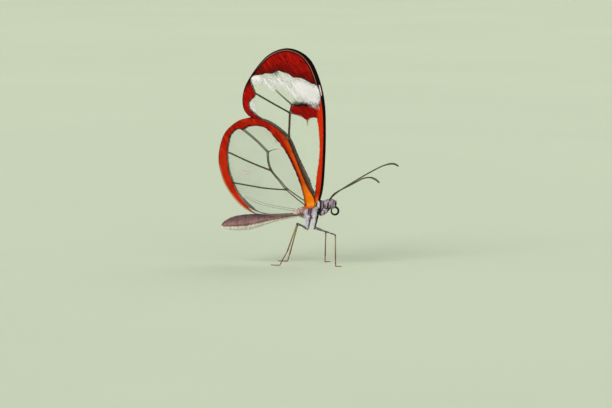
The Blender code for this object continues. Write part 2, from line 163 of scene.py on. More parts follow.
def combine(tree, operation, values):
    found = values[0]
    for value in values[1:]:
        found = calc(tree, operation, found, value)
    return found


def largest(tree, *values):
    return combine(tree, "MAXIMUM", values)


def product(tree, *values):
    return combine(tree, "MULTIPLY", values)


def fade(tree, value, low, high):
    inputs = {"Value": value, "From Min": low, "From Max": high}
    return addNode(tree, "MapRange", inputs, interpolation_type="SMOOTHSTEP").outputs["Result"]


# a value from low to high laid out over another span
def spread(tree, value, low=0.0, high=1.0, toLow=0.0, toHigh=1.0):
    inputs = {"Value": value, "From Min": low, "From Max": high, "To Min": toLow, "To Max": toHigh}
    return addNode(tree, "MapRange", inputs).outputs["Result"]


def tint(tree, factor, a, b, mode="MIX"):
    return addNode(tree, "Mix", {0: factor, 6: a, 7: b}, data_type="RGBA", blend_type=mode).outputs[2]


def noise(tree, place, scale, detail=2.0, roughness=0.5):
    inputs = {"Vector": place, "Scale": scale, "Detail": detail, "Roughness": roughness}
    return addNode(tree, "TexNoise", inputs).outputs[0]


# turned axes, and how long a pattern is drawn out along each of them
def stretch(tree, place, turn=(0, 0, 0), size=(1, 1, 1)):
    inputs = {"Vector": place, "Rotation": tuple(math.radians(v) for v in turn), "Scale": size}
    return addNode(tree, "Mapping", inputs, vector_type="TEXTURE").outputs[0]


def grey(tree, tone):
    return addNode(tree, "CombineColor", {0: tone, 1: tone, 2: tone}).outputs[0]


# the colour made darker or lighter by a grey tone
def shade(tree, colour, tone, factor=1.0):
    return tint(tree, factor, colour, grey(tree, tone), "MULTIPLY")


def inverse(tree, value):
    return calc(tree, "SUBTRACT", 1.0, value)


def value(tree, name):
    return addNode(tree, "Attribute", attribute_name=name).outputs["Fac"]


def newMaterial(name):
    material = bpy.data.materials.new(name)
    material.use_nodes = True
    tree = material.node_tree
    return material, tree, tree.nodes["Principled BSDF"]


def bumpFrom(tree, height, distance, strength):
    return addNode(tree, "Bump", {"Height": height, "Distance": distance, "Strength": strength}).outputs[0]


def newGroup(name, inputs, outputs):
    group = bpy.data.node_groups.new(name, "ShaderNodeTree")
    for label, kind, start in inputs:
        socket = group.interface.new_socket(name=label, in_out="INPUT", socket_type="NodeSocket" + kind)
        if start is not None:
            socket.default_value = start
    for label, kind in outputs:
        group.interface.new_socket(name=label, in_out="OUTPUT", socket_type="NodeSocket" + kind)
    return group, group.nodes.new("NodeGroupInput").outputs, group.nodes.new("NodeGroupOutput").inputs


def useGroup(tree, group, inputs):
    made = tree.nodes.new("ShaderNodeGroup")
    made.node_tree = group
    fill(tree, made, inputs)
    return made.outputs


# Effects that several materials share

# 1 where a distance in mm passes the edge, with a ragged, streaky line
def makeRaggedMask():
    group, given, made = newGroup("raggedMask", [
        ("Distance", "Float", 0.0), ("Place", "Vector", None), ("Edge", "Float", 0.0),
        ("Raggedness", "Float", 0.3), ("Softness", "Float", 0.08), ("Scale", "Float", 3.0),
    ], [("Mask", "Float")])
    jitter = calc(group, "SUBTRACT", noise(group, given["Place"], given["Scale"], 3.0, 0.6), 0.5)
    moved = calc(group, "MULTIPLY_ADD", jitter, given["Raggedness"], given["Distance"])
    low = calc(group, "SUBTRACT", given["Edge"], given["Softness"])
    high = calc(group, "ADD", given["Edge"], given["Softness"])
    group.links.new(fade(group, moved, low, high), made["Mask"])
    return group


# tiny overlapping scales in rows: their height and a tone that differs from scale to scale
def makeScaleRows():
    group, given, made = newGroup("scaleRows", [
        ("Place", "Vector", None), ("Size", "Float", 0.09), ("Depth", "Float", 0.5),
    ], [("Height", "Float"), ("Tone", "Float")])
    density = calc(group, "DIVIDE", 1.0, given["Size"])
    longWays = stretch(group, given["Place"], (0, -35, 0), (1.0, 1.0, 1.8))
    cells = addNode(group, "TexVoronoi", {"Vector": longWays, "Scale": density, "Randomness": 0.7})
    fine = noise(group, given["Place"], calc(group, "MULTIPLY", density, 2.5), 2.0)
    height = calc(group, "SUBTRACT", 1.0, cells.outputs["Distance"])
    group.links.new(calc(group, "MULTIPLY_ADD", fine, given["Depth"], height), made["Height"])
    toneParts = addNode(group, "SeparateColor", {0: cells.outputs["Color"]})
    group.links.new(toneParts.outputs[0], made["Tone"])
    return group


# brightness that wanders over the surface, between two bounds
def makeMottle():
    group, given, made = newGroup("mottle", [
        ("Place", "Vector", None), ("Scale", "Float", 1.0),
        ("Darkest", "Float", 0.7), ("Lightest", "Float", 1.1),
    ], [("Tone", "Float")])
    broad = noise(group, given["Place"], given["Scale"], 4.0, 0.6)
    group.links.new(spread(group, broad, 0.3, 0.7, given["Darkest"], given["Lightest"]), made["Tone"])
    return group


def mottled(tree, spot, scale, darkest, lightest):
    inputs = {"Place": spot, "Scale": scale, "Darkest": darkest, "Lightest": lightest}
    return useGroup(tree, mottle, inputs)["Tone"]


def ramp(tree, factor, stops):
    made = addNode(tree, "ValToRGB", {"Fac": factor})
    elements = made.color_ramp.elements
    while len(elements) < len(stops):
        elements.new(0.5)
    for element, (position, colour) in zip(elements, stops):
        element.position = position
        element.color = rgb(*colour)
    return made.outputs["Color"]


# colours of head, thorax, hips and abdomen: "slant" runs from the rear of the thorax to the neck,
# "lift" from the belly, -1, to the back, 1
bodyColours = {
    "slantAt": (-1.0, 3.0),
    "slant": [
        (-0.95, (92, 48, 52)), (-0.62, (222, 170, 142)), (-0.46, (150, 110, 118)), (-0.34, (224, 212, 230)),
        (0.10, (240, 230, 246)), (0.42, (204, 188, 210)), (0.55, (88, 48, 74)), (0.80, (156, 134, 156)),
        (0.98, (58, 16, 26)), (1.16, (70, 22, 34)), (1.28, (222, 208, 232)), (1.60, (242, 232, 247)),
        (2.02, (212, 204, 212)), (2.10, (22, 5, 10)), (2.50, (34, 7, 12)), (2.62, (92, 26, 30)),
        (2.74, (190, 168, 184)), (2.98, (216, 200, 216)),
    ],
    "lift": [
        (-1.0, (252, 244, 236)), (-0.46, (250, 240, 230)), (-0.38, (220, 186, 176)), (-0.32, (92, 58, 66)),
        (-0.24, (168, 126, 126)), (0.05, (186, 142, 140)), (0.45, (150, 106, 108)), (1.0, (102, 72, 78)),
    ],
    "back": (62, 46, 42),
    "headPale": (214, 194, 213),
    "headDark": (44, 16, 38),
    # x where the thorax's markings begin and where the head's do
    "waistAt": (-0.95, -0.45), "neckAt": (3.08, 3.28),
    # lift where the thorax's dark back begins, and where the abdomen's rings do above its belly
    "backAt": (0.5, 0.72), "ringsAt": (-0.50, -0.34),
}


def makeBodyMarkings():
    group, given, made = newGroup("bodyMarkings", [("Place", "Vector", None), ("Lift", "Float", 0.0)],
                                  [("Color", "Color")])
    parts = addNode(group, "SeparateXYZ", {0: given["Place"]}).outputs
    x, z = parts[0], parts[2]
    wander = noise(group, stretch(group, given["Place"], size=(0.33, 1, 1)), 1.2, 3.0)
    wander = calc(group, "SUBTRACT", wander, 0.5)
    low, high = bodyColours["slantAt"]
    slant = calc(group, "MULTIPLY_ADD", z, -0.22, calc(group, "ADD", x, 1.87))
    slant = calc(group, "MULTIPLY_ADD", wander, 0.60, slant)
    share = spread(group, slant, low, high)
    side = ramp(group, share, [((u - low) / (high - low), colour) for u, colour in bodyColours["slant"]])
    flecks = noise(group, stretch(group, given["Place"], (0, 8, 0), (0.4, 0.4, 1.6)), 1.6, 3.0, 0.6)
    side = shade(group, side, spread(group, flecks, 0.36, 0.54, 0.66))
    onBack = fade(group, calc(group, "MULTIPLY_ADD", wander, 0.5, given["Lift"]), *bodyColours["backAt"])
    thorax = tint(group, onBack, side, rgb(*bodyColours["back"]))
    streaks = noise(group, stretch(group, given["Place"], (0, 4, 0), (0.22, 0.8, 1.6)), 1.1, 2.0)
    streaks = calc(group, "MULTIPLY_ADD", calc(group, "MAXIMUM", given["Lift"], 0.0), -0.07, streaks)
    dark, pale = rgb(*bodyColours["headDark"]), rgb(*bodyColours["headPale"])
    head = tint(group, fade(group, streaks, 0.44, 0.55), dark, pale)
    wavy = calc(group, "MULTIPLY_ADD", wander, 0.26, given["Lift"])
    share = spread(group, wavy, -1.0, 1.0)
    abdomen = ramp(group, share, [((lift + 1) / 2, colour) for lift, colour in bodyColours["lift"]])
    rings = noise(group, stretch(group, given["Place"], (0, -8, 0), (0.26, 1.0, 1.6)), 1.0, 4.0, 0.6)
    aboveBelly = fade(group, given["Lift"], *bodyColours["ringsAt"])
    abdomen = shade(group, abdomen, spread(group, rings, 0.36, 0.64, 0.56, 1.10), aboveBelly)
    front = tint(group, fade(group, x, *bodyColours["neckAt"]), thorax, head)
    group.links.new(tint(group, fade(group, x, *bodyColours["waistAt"]), abdomen, front), made["Color"])
    return group


raggedMask, scaleRows, mottle = makeRaggedMask(), makeScaleRows(), makeMottle()
bodyMarkings = makeBodyMarkings()


# Camera, lights and floor

view = {
    "target": (0.0, 0.0, 11.02),    # what the middle of the picture looks at
    "azimuth": 14.0,                # degrees round from the butterfly's right side towards its head
    "elevation": 5.0,
    "distance": 612.0,
    "lens": 200.0,
}
lamps = {
    # where its light comes from, how wide it looks in degrees, strength, colour
    "key": ((-0.50, -0.90, 0.72), 36, 2.2, (1.0, 0.985, 0.96)),
    "fill": ((0.80, -0.75, 0.30), 60, 1.0, (0.97, 0.98, 1.0)),
    "back": ((0.20, 0.90, 0.80), 50, 0.8, (1.0, 1.0, 0.97)),
}
skyColour, skyStrength = (0.96, 0.98, 1.0, 1.0), 0.52
floorColour = (190, 199, 174)
# flat out to the first, then as far again and as high as the other two, in mm
floorRadius, floorRise, floorLip = 2600.0, 900.0, 1600.0


def aim(piece, place, target):
    piece.location = place
    piece.rotation_euler = (target - place).to_track_quat("-Z", "Y").to_euler()


def addCamera():
    camera = bpy.data.objects.new("camera", bpy.data.cameras.new("camera"))
    camera.data.lens = view["lens"]
    camera.data.clip_end = 20.0
    a, e = math.radians(view["azimuth"]), math.radians(view["elevation"])
    back = Vector((math.sin(a) * math.cos(e), -math.cos(a) * math.cos(e), math.sin(e)))
    target = Vector(place([view["target"]])[0])
    aim(camera, target + back * view["distance"] * mm, target)
    scene.collection.objects.link(camera)
    scene.camera = camera


def addLamps():
    for name, (where, width, strength, colour) in lamps.items():
        lamp = bpy.data.lights.new(name, "SUN")
        lamp.angle, lamp.energy, lamp.color = math.radians(width), strength, colour
        piece = bpy.data.objects.new(name, lamp)
        aim(piece, Vector(where), Vector((0, 0, 0)))
        scene.collection.objects.link(piece)
    world = bpy.data.worlds.new("studio")
    world.use_nodes = True
    world.node_tree.nodes["Background"].inputs["Color"].default_value = skyColour
    world.node_tree.nodes["Background"].inputs["Strength"].default_value = skyStrength
    scene.world = world
    scene.view_settings.view_transform = "Standard"    # keeps the reds as strong as they are


# a wide dish, flat in the middle, so that pale floor fills the view all round
def addFloor():
    sides = 64
    rings = [(floorRadius * r, 0.0) for r in (0.1, 0.3, 0.6, 1.0)]
    for rise in np.linspace(0.15, 1.5, 10):
        rings.append((floorRadius + floorRise * math.sin(rise), floorLip * (1 - math.cos(rise))))
    angles = np.arange(sides) * math.tau / sides
    points = [(0, 0, 0)]
    points += [(r * math.cos(a) * mm, r * math.sin(a) * mm, z * mm) for r, z in rings for a in angles]
    faces = [(0, 1 + k, 1 + (k + 1) % sides) for k in range(sides)]
    for i in range(len(rings) - 1):
        low, high = 1 + i * sides, 1 + (i + 1) * sides
        for k in range(sides):
            beside = (k + 1) % sides
            faces.append((low + k, high + k, high + beside, low + beside))
    floor = addMesh("floor", points, faces)
    material, tree, shader = newMaterial("paleFloor")
    spot = addNode(tree, "TexCoord").outputs["Object"]
    tone = mottled(tree, spot, 6.0, 0.98, 1.02)
    fill(tree, shader, {"Base Color": shade(tree, rgb(*floorColour), tone), "Roughness": 0.9})
    floor.data.materials.append(material)


# Wings

# x and z in mm; the outlines start at the root and run up the leading edge
forewing = {
    "outline": [
        (1.9, 10.3), (2.5, 11.6), (3.1, 14.0), (3.45, 18.5), (3.6, 24.0), (3.45, 28.8), (2.7, 32.7),
        (1.1, 36.5), (-1.1, 38.4), (-3.9, 39.0), (-6.9, 37.8), (-9.4, 35.1), (-11.3, 31.9), (-11.7, 29.0),
        (-10.8, 27.0),
        (-7.9, 25.2), (-5.1, 22.4), (-2.9, 19.0), (-0.9, 15.0), (0.7, 11.4), (1.0, 10.3),
    ],
    "leading": 10,                  # points of the outline from the root to the apex
    # width of the black rim at each point of the outline
    "black": [0.10, 0.20, 0.30, 0.32, 0.32, 0.42, 0.60, 0.55, 0.34, 0.28, 0.22,
              0.17, 0.15, 0.15, 0.14, 0.10, 0.10, 0.10, 0.10, 0.08, 0.08],
    # inner edge of the coloured border
    "clear": [
        (1.6, 12.4), (1.8, 13.6), (2.1, 16.4), (2.45, 19.0), (2.6, 21.8), (2.4, 24.5), (2.15, 26.4),
        (2.25, 28.8), (2.65, 29.9), (2.8, 31.3), (2.5, 32.2), (1.4, 32.6), (0.25, 33.2), (-0.85, 33.7),
        (-2.25, 33.8),
        (-3.05, 34.3), (-4.45, 34.8), (-5.3, 34.9), (-6.0, 34.5), (-6.7, 34.4), (-7.5, 34.45), (-8.2, 34.2),
        (-9.3, 34.1), (-10.0, 33.7), (-10.15, 33.1), (-9.95, 32.3), (-9.6, 31.5), (-9.3, 30.8), (-9.6, 30.1),
        (-10.3, 29.5), (-10.6, 28.8), (-10.3, 28.0), (-9.6, 27.25), (-8.8, 26.7), (-7.5, 25.8), (-4.8, 22.9),
        (-3.1, 22.1), (-2.3, 21.1), (-1.05, 18.8), (0.05, 16.6), (0.8, 15.0), (1.35, 12.7),
    ],
    "patch": [
        (-2.7, 27.7), (-2.5, 28.7), (-1.4, 29.0), (0.5, 29.1), (1.9, 28.9), (2.9, 28.8), (2.9, 26.2),
        (2.0, 26.6), (1.4, 26.65), (0.8, 26.55), (0.3, 26.1), (-0.2, 26.4), (-0.85, 26.9), (-1.8, 27.15),
        (-2.5, 27.4),
    ],
    # half width, how dark it shows at each end, points
    "veins": [
        (0.11, (0.0, 0.0), [(1.95, 11.2), (2.75, 16.0), (3.0, 21.0), (2.8, 26.7), (2.95, 30.0), (1.6, 34.0),
                            (-0.4, 36.9)]),
        (0.11, (1.0, 1.0), [(1.6, 11.4), (0.8, 14.1), (-1.4, 19.2), (-3.0, 22.6), (-3.05, 25.5),
                            (-2.95, 27.4)]),
        (0.10, (1.0, 1.0), [(-2.95, 27.4), (-6.1, 29.05), (-9.3, 30.8)]),
        (0.10, (1.0, 0.0), [(-2.95, 27.4), (-1.8, 27.15), (0.2, 26.6), (2.75, 26.9)]),
        (0.10, (1.0, 1.0), [(-2.6, 28.9), (-2.95, 27.4)]),
        (0.08, (1.0, 0.5), [(-2.6, 28.9), (-4.3, 30.3), (-6.0, 31.8)]),
        (0.06, (0.3, 0.0), [(-6.0, 31.8), (-9.6, 33.5)]),
        (0.08, (1.0, 1.0), [(-2.6, 28.9), (-0.3, 29.1), (2.75, 29.0)]),
        (0.07, (0.5, 0.0), [(-1.6, 29.0), (-3.3, 31.6)]),
        (0.07, (0.0, 0.4), [(-3.3, 31.6), (-4.9, 34.2), (-6.9, 36.3)]),
        (0.07, (0.5, 0.0), [(-0.3, 29.1), (-1.4, 31.5)]),
        (0.07, (0.0, 0.4), [(-1.4, 31.5), (-2.3, 34.0), (-4.0, 37.5)]),
        (0.07, (1.0, 0.2), [(0.2, 26.5), (0.3, 25.0)]),
        (0.08, (0.6, 0.6), [(-3.0, 22.6), (-7.1, 25.0), (-10.1, 27.9)]),
    ],
    # half width, strength, points
    "pale": [
        (0.62, 1.0, [(-9.6, 33.55), (-8.9, 33.5)]),
        (0.45, 0.50, [(-9.0, 33.4), (-7.5, 33.4), (-5.9, 33.1), (-4.2, 32.5), (-2.8, 31.6), (-1.4, 30.7)]),
        (0.34, 0.80, [(-5.1, 33.6), (-3.6, 32.2), (-1.9, 30.5)]),
        (0.30, 0.70, [(-8.0, 33.4), (-6.9, 32.5), (-6.1, 31.8)]),
        (0.80, 0.30, [(-6.4, 33.9), (-3.6, 33.4), (-2.2, 32.8)]),
        (0.30, 0.35, [(-10.2, 29.1), (-9.7, 28.6), (-9.6, 28.1)]),
    ],
    "paleArea": [
        (-2.3, 33.1), (-0.85, 33.3), (0.5, 32.85), (1.5, 32.45), (2.5, 32.0), (2.75, 31.2), (2.55, 30.0),
        (2.2, 28.8), (1.2, 29.0), (0.2, 29.6), (-1.0, 30.3), (-1.9, 31.2), (-2.4, 32.2),
    ],
}
hindwing = {
    "outline": [
        (1.75, 10.4), (1.9, 12.0), (0.3, 14.9), (-1.8, 19.9), (-3.15, 22.8), (-5.0, 24.6), (-7.4, 26.0),
        (-10.0, 26.45), (-12.35, 25.9), (-14.6, 24.2), (-15.7, 22.1), (-16.2, 19.2), (-15.85, 16.6),
        (-14.85, 14.0), (-12.75, 11.4), (-9.95, 9.5), (-7.2, 8.85), (-3.5, 8.85), (-0.9, 9.1), (0.6, 9.4),
    ],
    "leading": 8,
    "black": [0.09] * 20,
    "clear": [
        (0.1, 10.4), (0.0, 11.5), (-0.3, 13.1), (-1.0, 15.3), (-2.0, 17.6), (-3.1, 19.8), (-4.4, 21.7),
        (-5.5, 23.0), (-6.6, 24.2), (-7.8, 24.9), (-9.4, 25.0), (-10.8, 24.75), (-11.7, 24.2), (-12.4, 24.4),
        (-13.2, 24.0), (-14.0, 23.0), (-14.4, 21.4), (-14.55, 19.5), (-14.4, 17.6), (-14.0, 16.0),
        (-13.5, 14.7), (-12.8, 13.2), (-11.9, 11.9), (-10.5, 10.45), (-9.3, 9.4), (-8.0, 8.6), (-3.5, 8.5),
        (-0.9, 8.8),
        (-0.1, 9.4),
    ],
    "veins": [
        (0.11, (0.0, 0.0), [(0.6, 10.9), (-0.4, 15.0), (-3.2, 20.6), (-6.2, 24.3), (-8.9, 25.6)]),
        (0.09, (1.0, 1.0), [(0.2, 10.9), (-3.4, 13.5), (-4.95, 15.2), (-6.4, 16.9), (-7.0, 18.6),
                            (-7.1, 20.3)]),
        (0.085, (1.0, 1.0), [(-7.1, 20.3), (-9.3, 22.4), (-11.7, 24.3)]),
        (0.06, (1.0, 0.1), [(-7.1, 20.3), (-6.1, 20.7), (-5.2, 20.8)]),
        (0.085, (1.0, 1.0), [(-6.4, 16.9), (-10.2, 18.3), (-14.4, 20.1)]),
        (0.08, (1.0, 1.0), [(-3.4, 13.5), (-7.3, 13.7), (-10.2, 14.1), (-13.5, 14.6)]),
        (0.06, (0.6, 0.3), [(0.0, 10.2), (-1.8, 9.9), (-7.8, 10.8), (-11.4, 12.2)]),
    ],
    "pale": [
        (0.22, 0.55, [(-7.0, 24.0), (-6.2, 22.9), (-5.5, 21.9)]),
        # painted highlight: this pale line is a glint on the membrane
        (0.13, 0.75, [(-12.1, 16.75), (-11.4, 16.6), (-10.5, 16.4)]),
    ],
}
wingPlace = {
    "forewingOut": 0.32,            # from the body's middle plane
    "forewingLower": 0.04,          # more than that near the body
    "hindwingOut": 0.88,            # and more outside the forewing
    "hindwingRootOut": 0.21,
    "besideAbdomen": (13.5, 9.8),   # below these heights the hindwing keeps that step
    "hindwingLower": 0.08,
    "leanIn": (4.2, 0.3),           # past the forewing's edge the hindwing leans back in
    "lowerFrom": (22.0, 13.0),      # heights between which the wings draw apart
    "fromBody": 0.08,
    "tucked": 0.5,                  # how far the lowest part of the root goes in under the coat
    "wave": 0.04,
    # half thicknesses: the clear skin, and how much scales, a vein's top and the rim add
    "membrane": 0.02,
    "scales": 0.014,
    "veinRise": 0.05,
    "rimRise": 0.04,
    "lattice": 0.33,
    "lineRoom": 0.35,               # share of the lattice's step that stays free along lines
    "rimSteps": 10,                 # points of the rim for each point of the outline
}

tailTip = -15.78                    # rear end of the abdomen, on the body's own axes
# where the middle of those axes lies in the frame, in mm
origin = np.array([
    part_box("abdomen")[0].x / mm - tailTip,
    (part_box("forewing_left")[1].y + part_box("forewing_right")[0].y) / 2 / mm,
    0.0,
])


def place(points):
    return (np.asarray(points, float) + origin) * mm


# Body surface: x, top, bottom and half width, from the tail to the face

bodyRun = [
    (-15.76, 6.95, 6.75, 0.10), (-15.50, 7.36, 6.40, 0.42), (-14.90, 7.86, 6.12, 0.78),
    (-13.70, 8.45, 5.90, 1.12), (-12.40, 8.78, 5.89, 1.26), (-10.40, 9.03, 6.10, 1.24),
    (-7.80, 9.13, 6.92, 1.04), (-5.00, 9.24, 7.80, 0.80), (-3.15, 9.37, 8.25, 0.64),
    (-1.40, 9.48, 8.62, 0.52), (-0.80, 9.80, 8.62, 0.62), (-0.40, 10.54, 8.50, 1.00),
    (0.30, 11.26, 8.30, 1.30), (1.10, 11.71, 8.39, 1.35), (1.85, 11.84, 8.80, 1.32),
    (2.45, 11.84, 9.42, 1.15), (2.95, 11.75, 10.00, 0.82), (3.40, 11.75, 10.30, 0.62),
    (3.80, 11.92, 10.20, 0.66), (4.30, 12.07, 10.17, 0.66), (4.80, 12.07, 10.17, 0.66),
    (5.25, 11.82, 10.34, 0.58), (5.52, 11.44, 10.60, 0.38), (5.64, 11.12, 10.92, 0.10),
]
bodyShape = {"coatDepth": 0.10, "furrow": 0.05, "furrowWidth": 0.13, "sides": 72, "step": 0.07,
             "from": (-15.68, -15.74), "to": (5.60, 5.63),
             "jointsX": (-3.15, -5.0, -7.8, -10.8, -12.3, -13.6)}
bodyTable = smoothRun(bodyRun, 8)


# top, bottom and half width at any x
def bodyAt(x):
    return [np.interp(x, bodyTable[:, 0], bodyTable[:, k]) for k in (1, 2, 3)]


# points of the skin at x and an angle round the body, 0 on the left side and a quarter turn on the back
def skinPoint(x, angle, grow=0.0):
    top, bottom, half = bodyAt(x)
    furrow = sum(np.exp(-((x - joint) / bodyShape["furrowWidth"]) ** 2) for joint in bodyShape["jointsX"])
    inward = bodyShape["coatDepth"] + bodyShape["furrow"] * furrow - grow
    high = np.maximum((top - bottom) / 2 - inward, 0.02)
    wide = np.maximum(half - inward, 0.02)
    return np.stack([x, wide * np.cos(angle), (top + bottom) / 2 + high * np.sin(angle)], -1)


# how far the body reaches out at x and z
def bodyOut(x, z):
    top, bottom, half = bodyAt(x)
    middle, high = (top + bottom) / 2, (top - bottom) / 2
    return half * np.sqrt(np.clip(1 - ((z - middle) / high) ** 2, 0, 1))


# Wing meshes

def wingRim(wing):
    return smoothRun(wing["outline"], wingPlace["rimSteps"], True)


foreRim = wingRim(forewing)


# distance of the wing's middle from the body's middle plane
def wingOut(spots, kind):
    x, z = spots[:, 0], spots[:, 1]
    lower = soft(z, *wingPlace["lowerFrom"])
    wave = np.sin(x * 0.9 + 0.35 * z) * np.sin(z * 0.5 + 0.8)
    out = wingPlace["forewingOut"] + wingPlace["wave"] * wave * (1 - lower)
    out = out + wingPlace["forewingLower"] * lower
    tucked = soft(z, 10.75, 10.35) * soft(x, -0.5, 0.1)
    seat = bodyOut(x, z) + wingPlace["fromBody"] - wingPlace["tucked"] * tucked
    if kind == "hindwing":
        past = np.maximum(-depthIn(spots, foreRim), 0)
        beside = soft(z, *wingPlace["besideAbdomen"])
        together = 1 - (1 - soft(past, *wingPlace["leanIn"])) * (1 - beside)
        out = out + wingPlace["hindwingOut"] * together + wingPlace["hindwingLower"] * lower
        seat = seat + wingPlace["hindwingRootOut"] * soft(x, -3.0, -1.0) * soft(z, 9.0, 9.8)
    out = out - 0.2 * tucked
    return (out + seat + np.sqrt((out - seat) ** 2 + 0.01)) / 2


# how thick the pale hairs stand, from 0 to 1; on the hindwing it places pale streaks and a painted highlight
def paleAt(spots, wing):
    pale = np.zeros(len(spots))
    for half, strength, line in wing["pale"]:
        away = distanceToLine(spots, np.array(line))
        pale = np.maximum(pale, strength * (1 - soft(away, half * 0.1, half * 1.7)))
    if "paleArea" in wing:
        pale = np.maximum(pale, soft(depthIn(spots, smoothRun(wing["paleArea"], 4, True)), -0.55, 0.95))
    return pale


def wingMesh(kind, wing, sign):
    rim = wingRim(wing)
    closedRim = np.vstack([rim, rim[:1]])
    clear = smoothRun(wing["clear"], 5, True)
    points, edges, runs = [rim], [], []
    count = len(rim)
    for half, show, spots in wing["veins"]:
        run = smoothRun(spots, 6)
        along = np.gradient(run, axis=0)
        across = np.stack([-along[:, 1], along[:, 0]], 1) / np.linalg.norm(along, axis=1)[:, None]
        runs.append((half, show, run))
        for line in (run, run + across * half, run - across * half):
            points.append(line)
            edges += [(count + i, count + i + 1) for i in range(len(line) - 1)]
            count += len(line)
    step = wingPlace["lattice"]
    low, high = rim.min(0), rim.max(0)
    columns, rows = np.arange(low[0], high[0], step), np.arange(low[1], high[1], step * 0.866)
    lattice = np.array([(x + (j % 2) * step / 2, z) for j, z in enumerate(rows) for x in columns])
    room = step * wingPlace["lineRoom"]
    lattice = lattice[depthIn(lattice, rim) > room]
    for line in points[1:]:
        lattice = lattice[distanceToLine(lattice, line) > room]
    points = np.vstack(points + [lattice])
    cut = delaunay_2d_cdt([Vector(p) for p in points], edges, [list(range(len(rim)))], 1, 1e-5)
    plan = np.array([tuple(p) for p in cut[0]])
    faces = np.array([tuple(f) for f in cut[2]])

    edge = distanceToLine(plan, closedRim)
    # the black rim's width wanders from one point of the outline to the next
    nearest = np.linalg.norm(plan[:, None] - rim, axis=2).argmin(1) / wingPlace["rimSteps"]
    black = np.interp(nearest, np.arange(len(wing["black"]) + 1), wing["black"] + wing["black"][:1])
    ratios, shows = [], []
    for vein, show, run in runs:
        ratios.append(distanceToLine(plan, run) / vein)
        along = np.linalg.norm(plan[:, None] - run, axis=2).argmin(1) / (len(run) - 1)
        shows.append(show[0] + (show[1] - show[0]) * along)
    ratios, shows = np.array(ratios), np.array(shows)
    veinRatio = ratios.min(0)
    border = -depthIn(plan, clear)
    values = {
        "edge": edge, "past": edge - black, "veinRatio": veinRatio, "border": border,
        "veinShow": np.take_along_axis(shows, ratios.argmin(0)[None], 0)[0],
        "pale": paleAt(plan, wing),
        # where there is no patch, every point lies far outside it
        "patch": np.full(len(plan), -9.0),
    }
    if "patch" in wing:
        values["patch"] = depthIn(plan, smoothRun(wing["patch"], 4, True))

    half = wingPlace["membrane"] + wingPlace["scales"] * soft(border, -0.15, 0.1)
    half = half + wingPlace["veinRise"] * np.sqrt(np.clip(1 - veinRatio**2, 0, 1))
    half = half + wingPlace["rimRise"] * np.sqrt(np.clip(1 - (edge / black) ** 2, 0, 1))
    half = half * (0.35 + 0.65 * soft(edge, 0.0, 0.16))
    out = wingOut(plan, kind)
    count = len(plan)
    outer = np.stack([plan[:, 0], sign * (out + half), plan[:, 1]], 1)
    inner = np.stack([plan[:, 0], sign * (out - half), plan[:, 1]], 1)
    a, b, c = faces.T
    turned = np.stack([a, c, b], 1)
    solid = [faces if sign < 0 else turned, (turned if sign < 0 else faces) + count]
    sides = np.vstack([faces[:, [0, 1]], faces[:, [1, 2]], faces[:, [2, 0]]])
    key = np.sort(sides, 1) @ np.array([1, count])
    _, index, times = np.unique(key, return_index=True, return_counts=True)
    start, end = sides[index[times == 1]].T
    band = np.vstack([np.stack([end, start, start + count], 1),
                      np.stack([end, start + count, end + count], 1)])
    solid.append(band if sign < 0 else band[:, [0, 2, 1]])
    allPoints = np.vstack([outer, inner])
    name = kind + ("Left" if sign > 0 else "Right")
    piece = addMesh(name, place(allPoints), np.vstack(solid))
    for name, found in values.items():
        addValue(piece, name, np.tile(found, 2))
    addValue(piece, "outer", np.repeat([1.0, 0.0], count))
    addSpots(piece, allPoints)
    return piece


# where each point lies on the animal, in mm, for the materials
def addSpots(piece, points):
    layer = piece.data.attributes.new("spot", "FLOAT_VECTOR", "POINT")
    layer.data.foreach_set("vector", np.asarray(points, np.float32).ravel())


def spotOf(tree):
    return addNode(tree, "Attribute", attribute_name="spot").outputs["Vector"]


wingColours = {
    "forewing": {
        "membrane": (206, 212, 192), "haze": (0.06, 0.10), "cloud": 0.04,
        "red": (150, 6, 1), "bright": (196, 22, 1), "deep": (56, 3, 4), "stripe": (204, 42, 1),
        "black": (12, 3, 4), "line": (172, 112, 92), "vein": (52, 40, 22), "pale": (255, 250, 252),
        "upperside": (40, 16, 12), "rear": (112, 84, 68), "glint": (252, 206, 210),
        # height above the feet and colour, from the root outwards
        "root": [(10.6, (250, 190, 60)), (11.4, (244, 138, 20)), (12.3, (222, 60, 6)),
                 (13.4, (120, 12, 6))],
    },
    "hindwing": {
        "membrane": (176, 184, 168), "haze": (0.09, 0.14), "cloud": 0.14,
        "red": (158, 9, 1), "bright": (196, 44, 2), "deep": (96, 6, 2), "stripe": (200, 78, 8),
        # the hindwing's pale colour also paints a glint, a painted highlight, along its second pale line
        "black": (26, 6, 6), "line": (206, 156, 116), "vein": (56, 42, 24), "pale": (240, 200, 198),
        "upperside": (44, 18, 12),
        "root": [(9.8, (255, 176, 110)), (10.7, (248, 140, 14)), (12.6, (238, 118, 10)),
                 (15.5, (224, 92, 6))],
    },
}


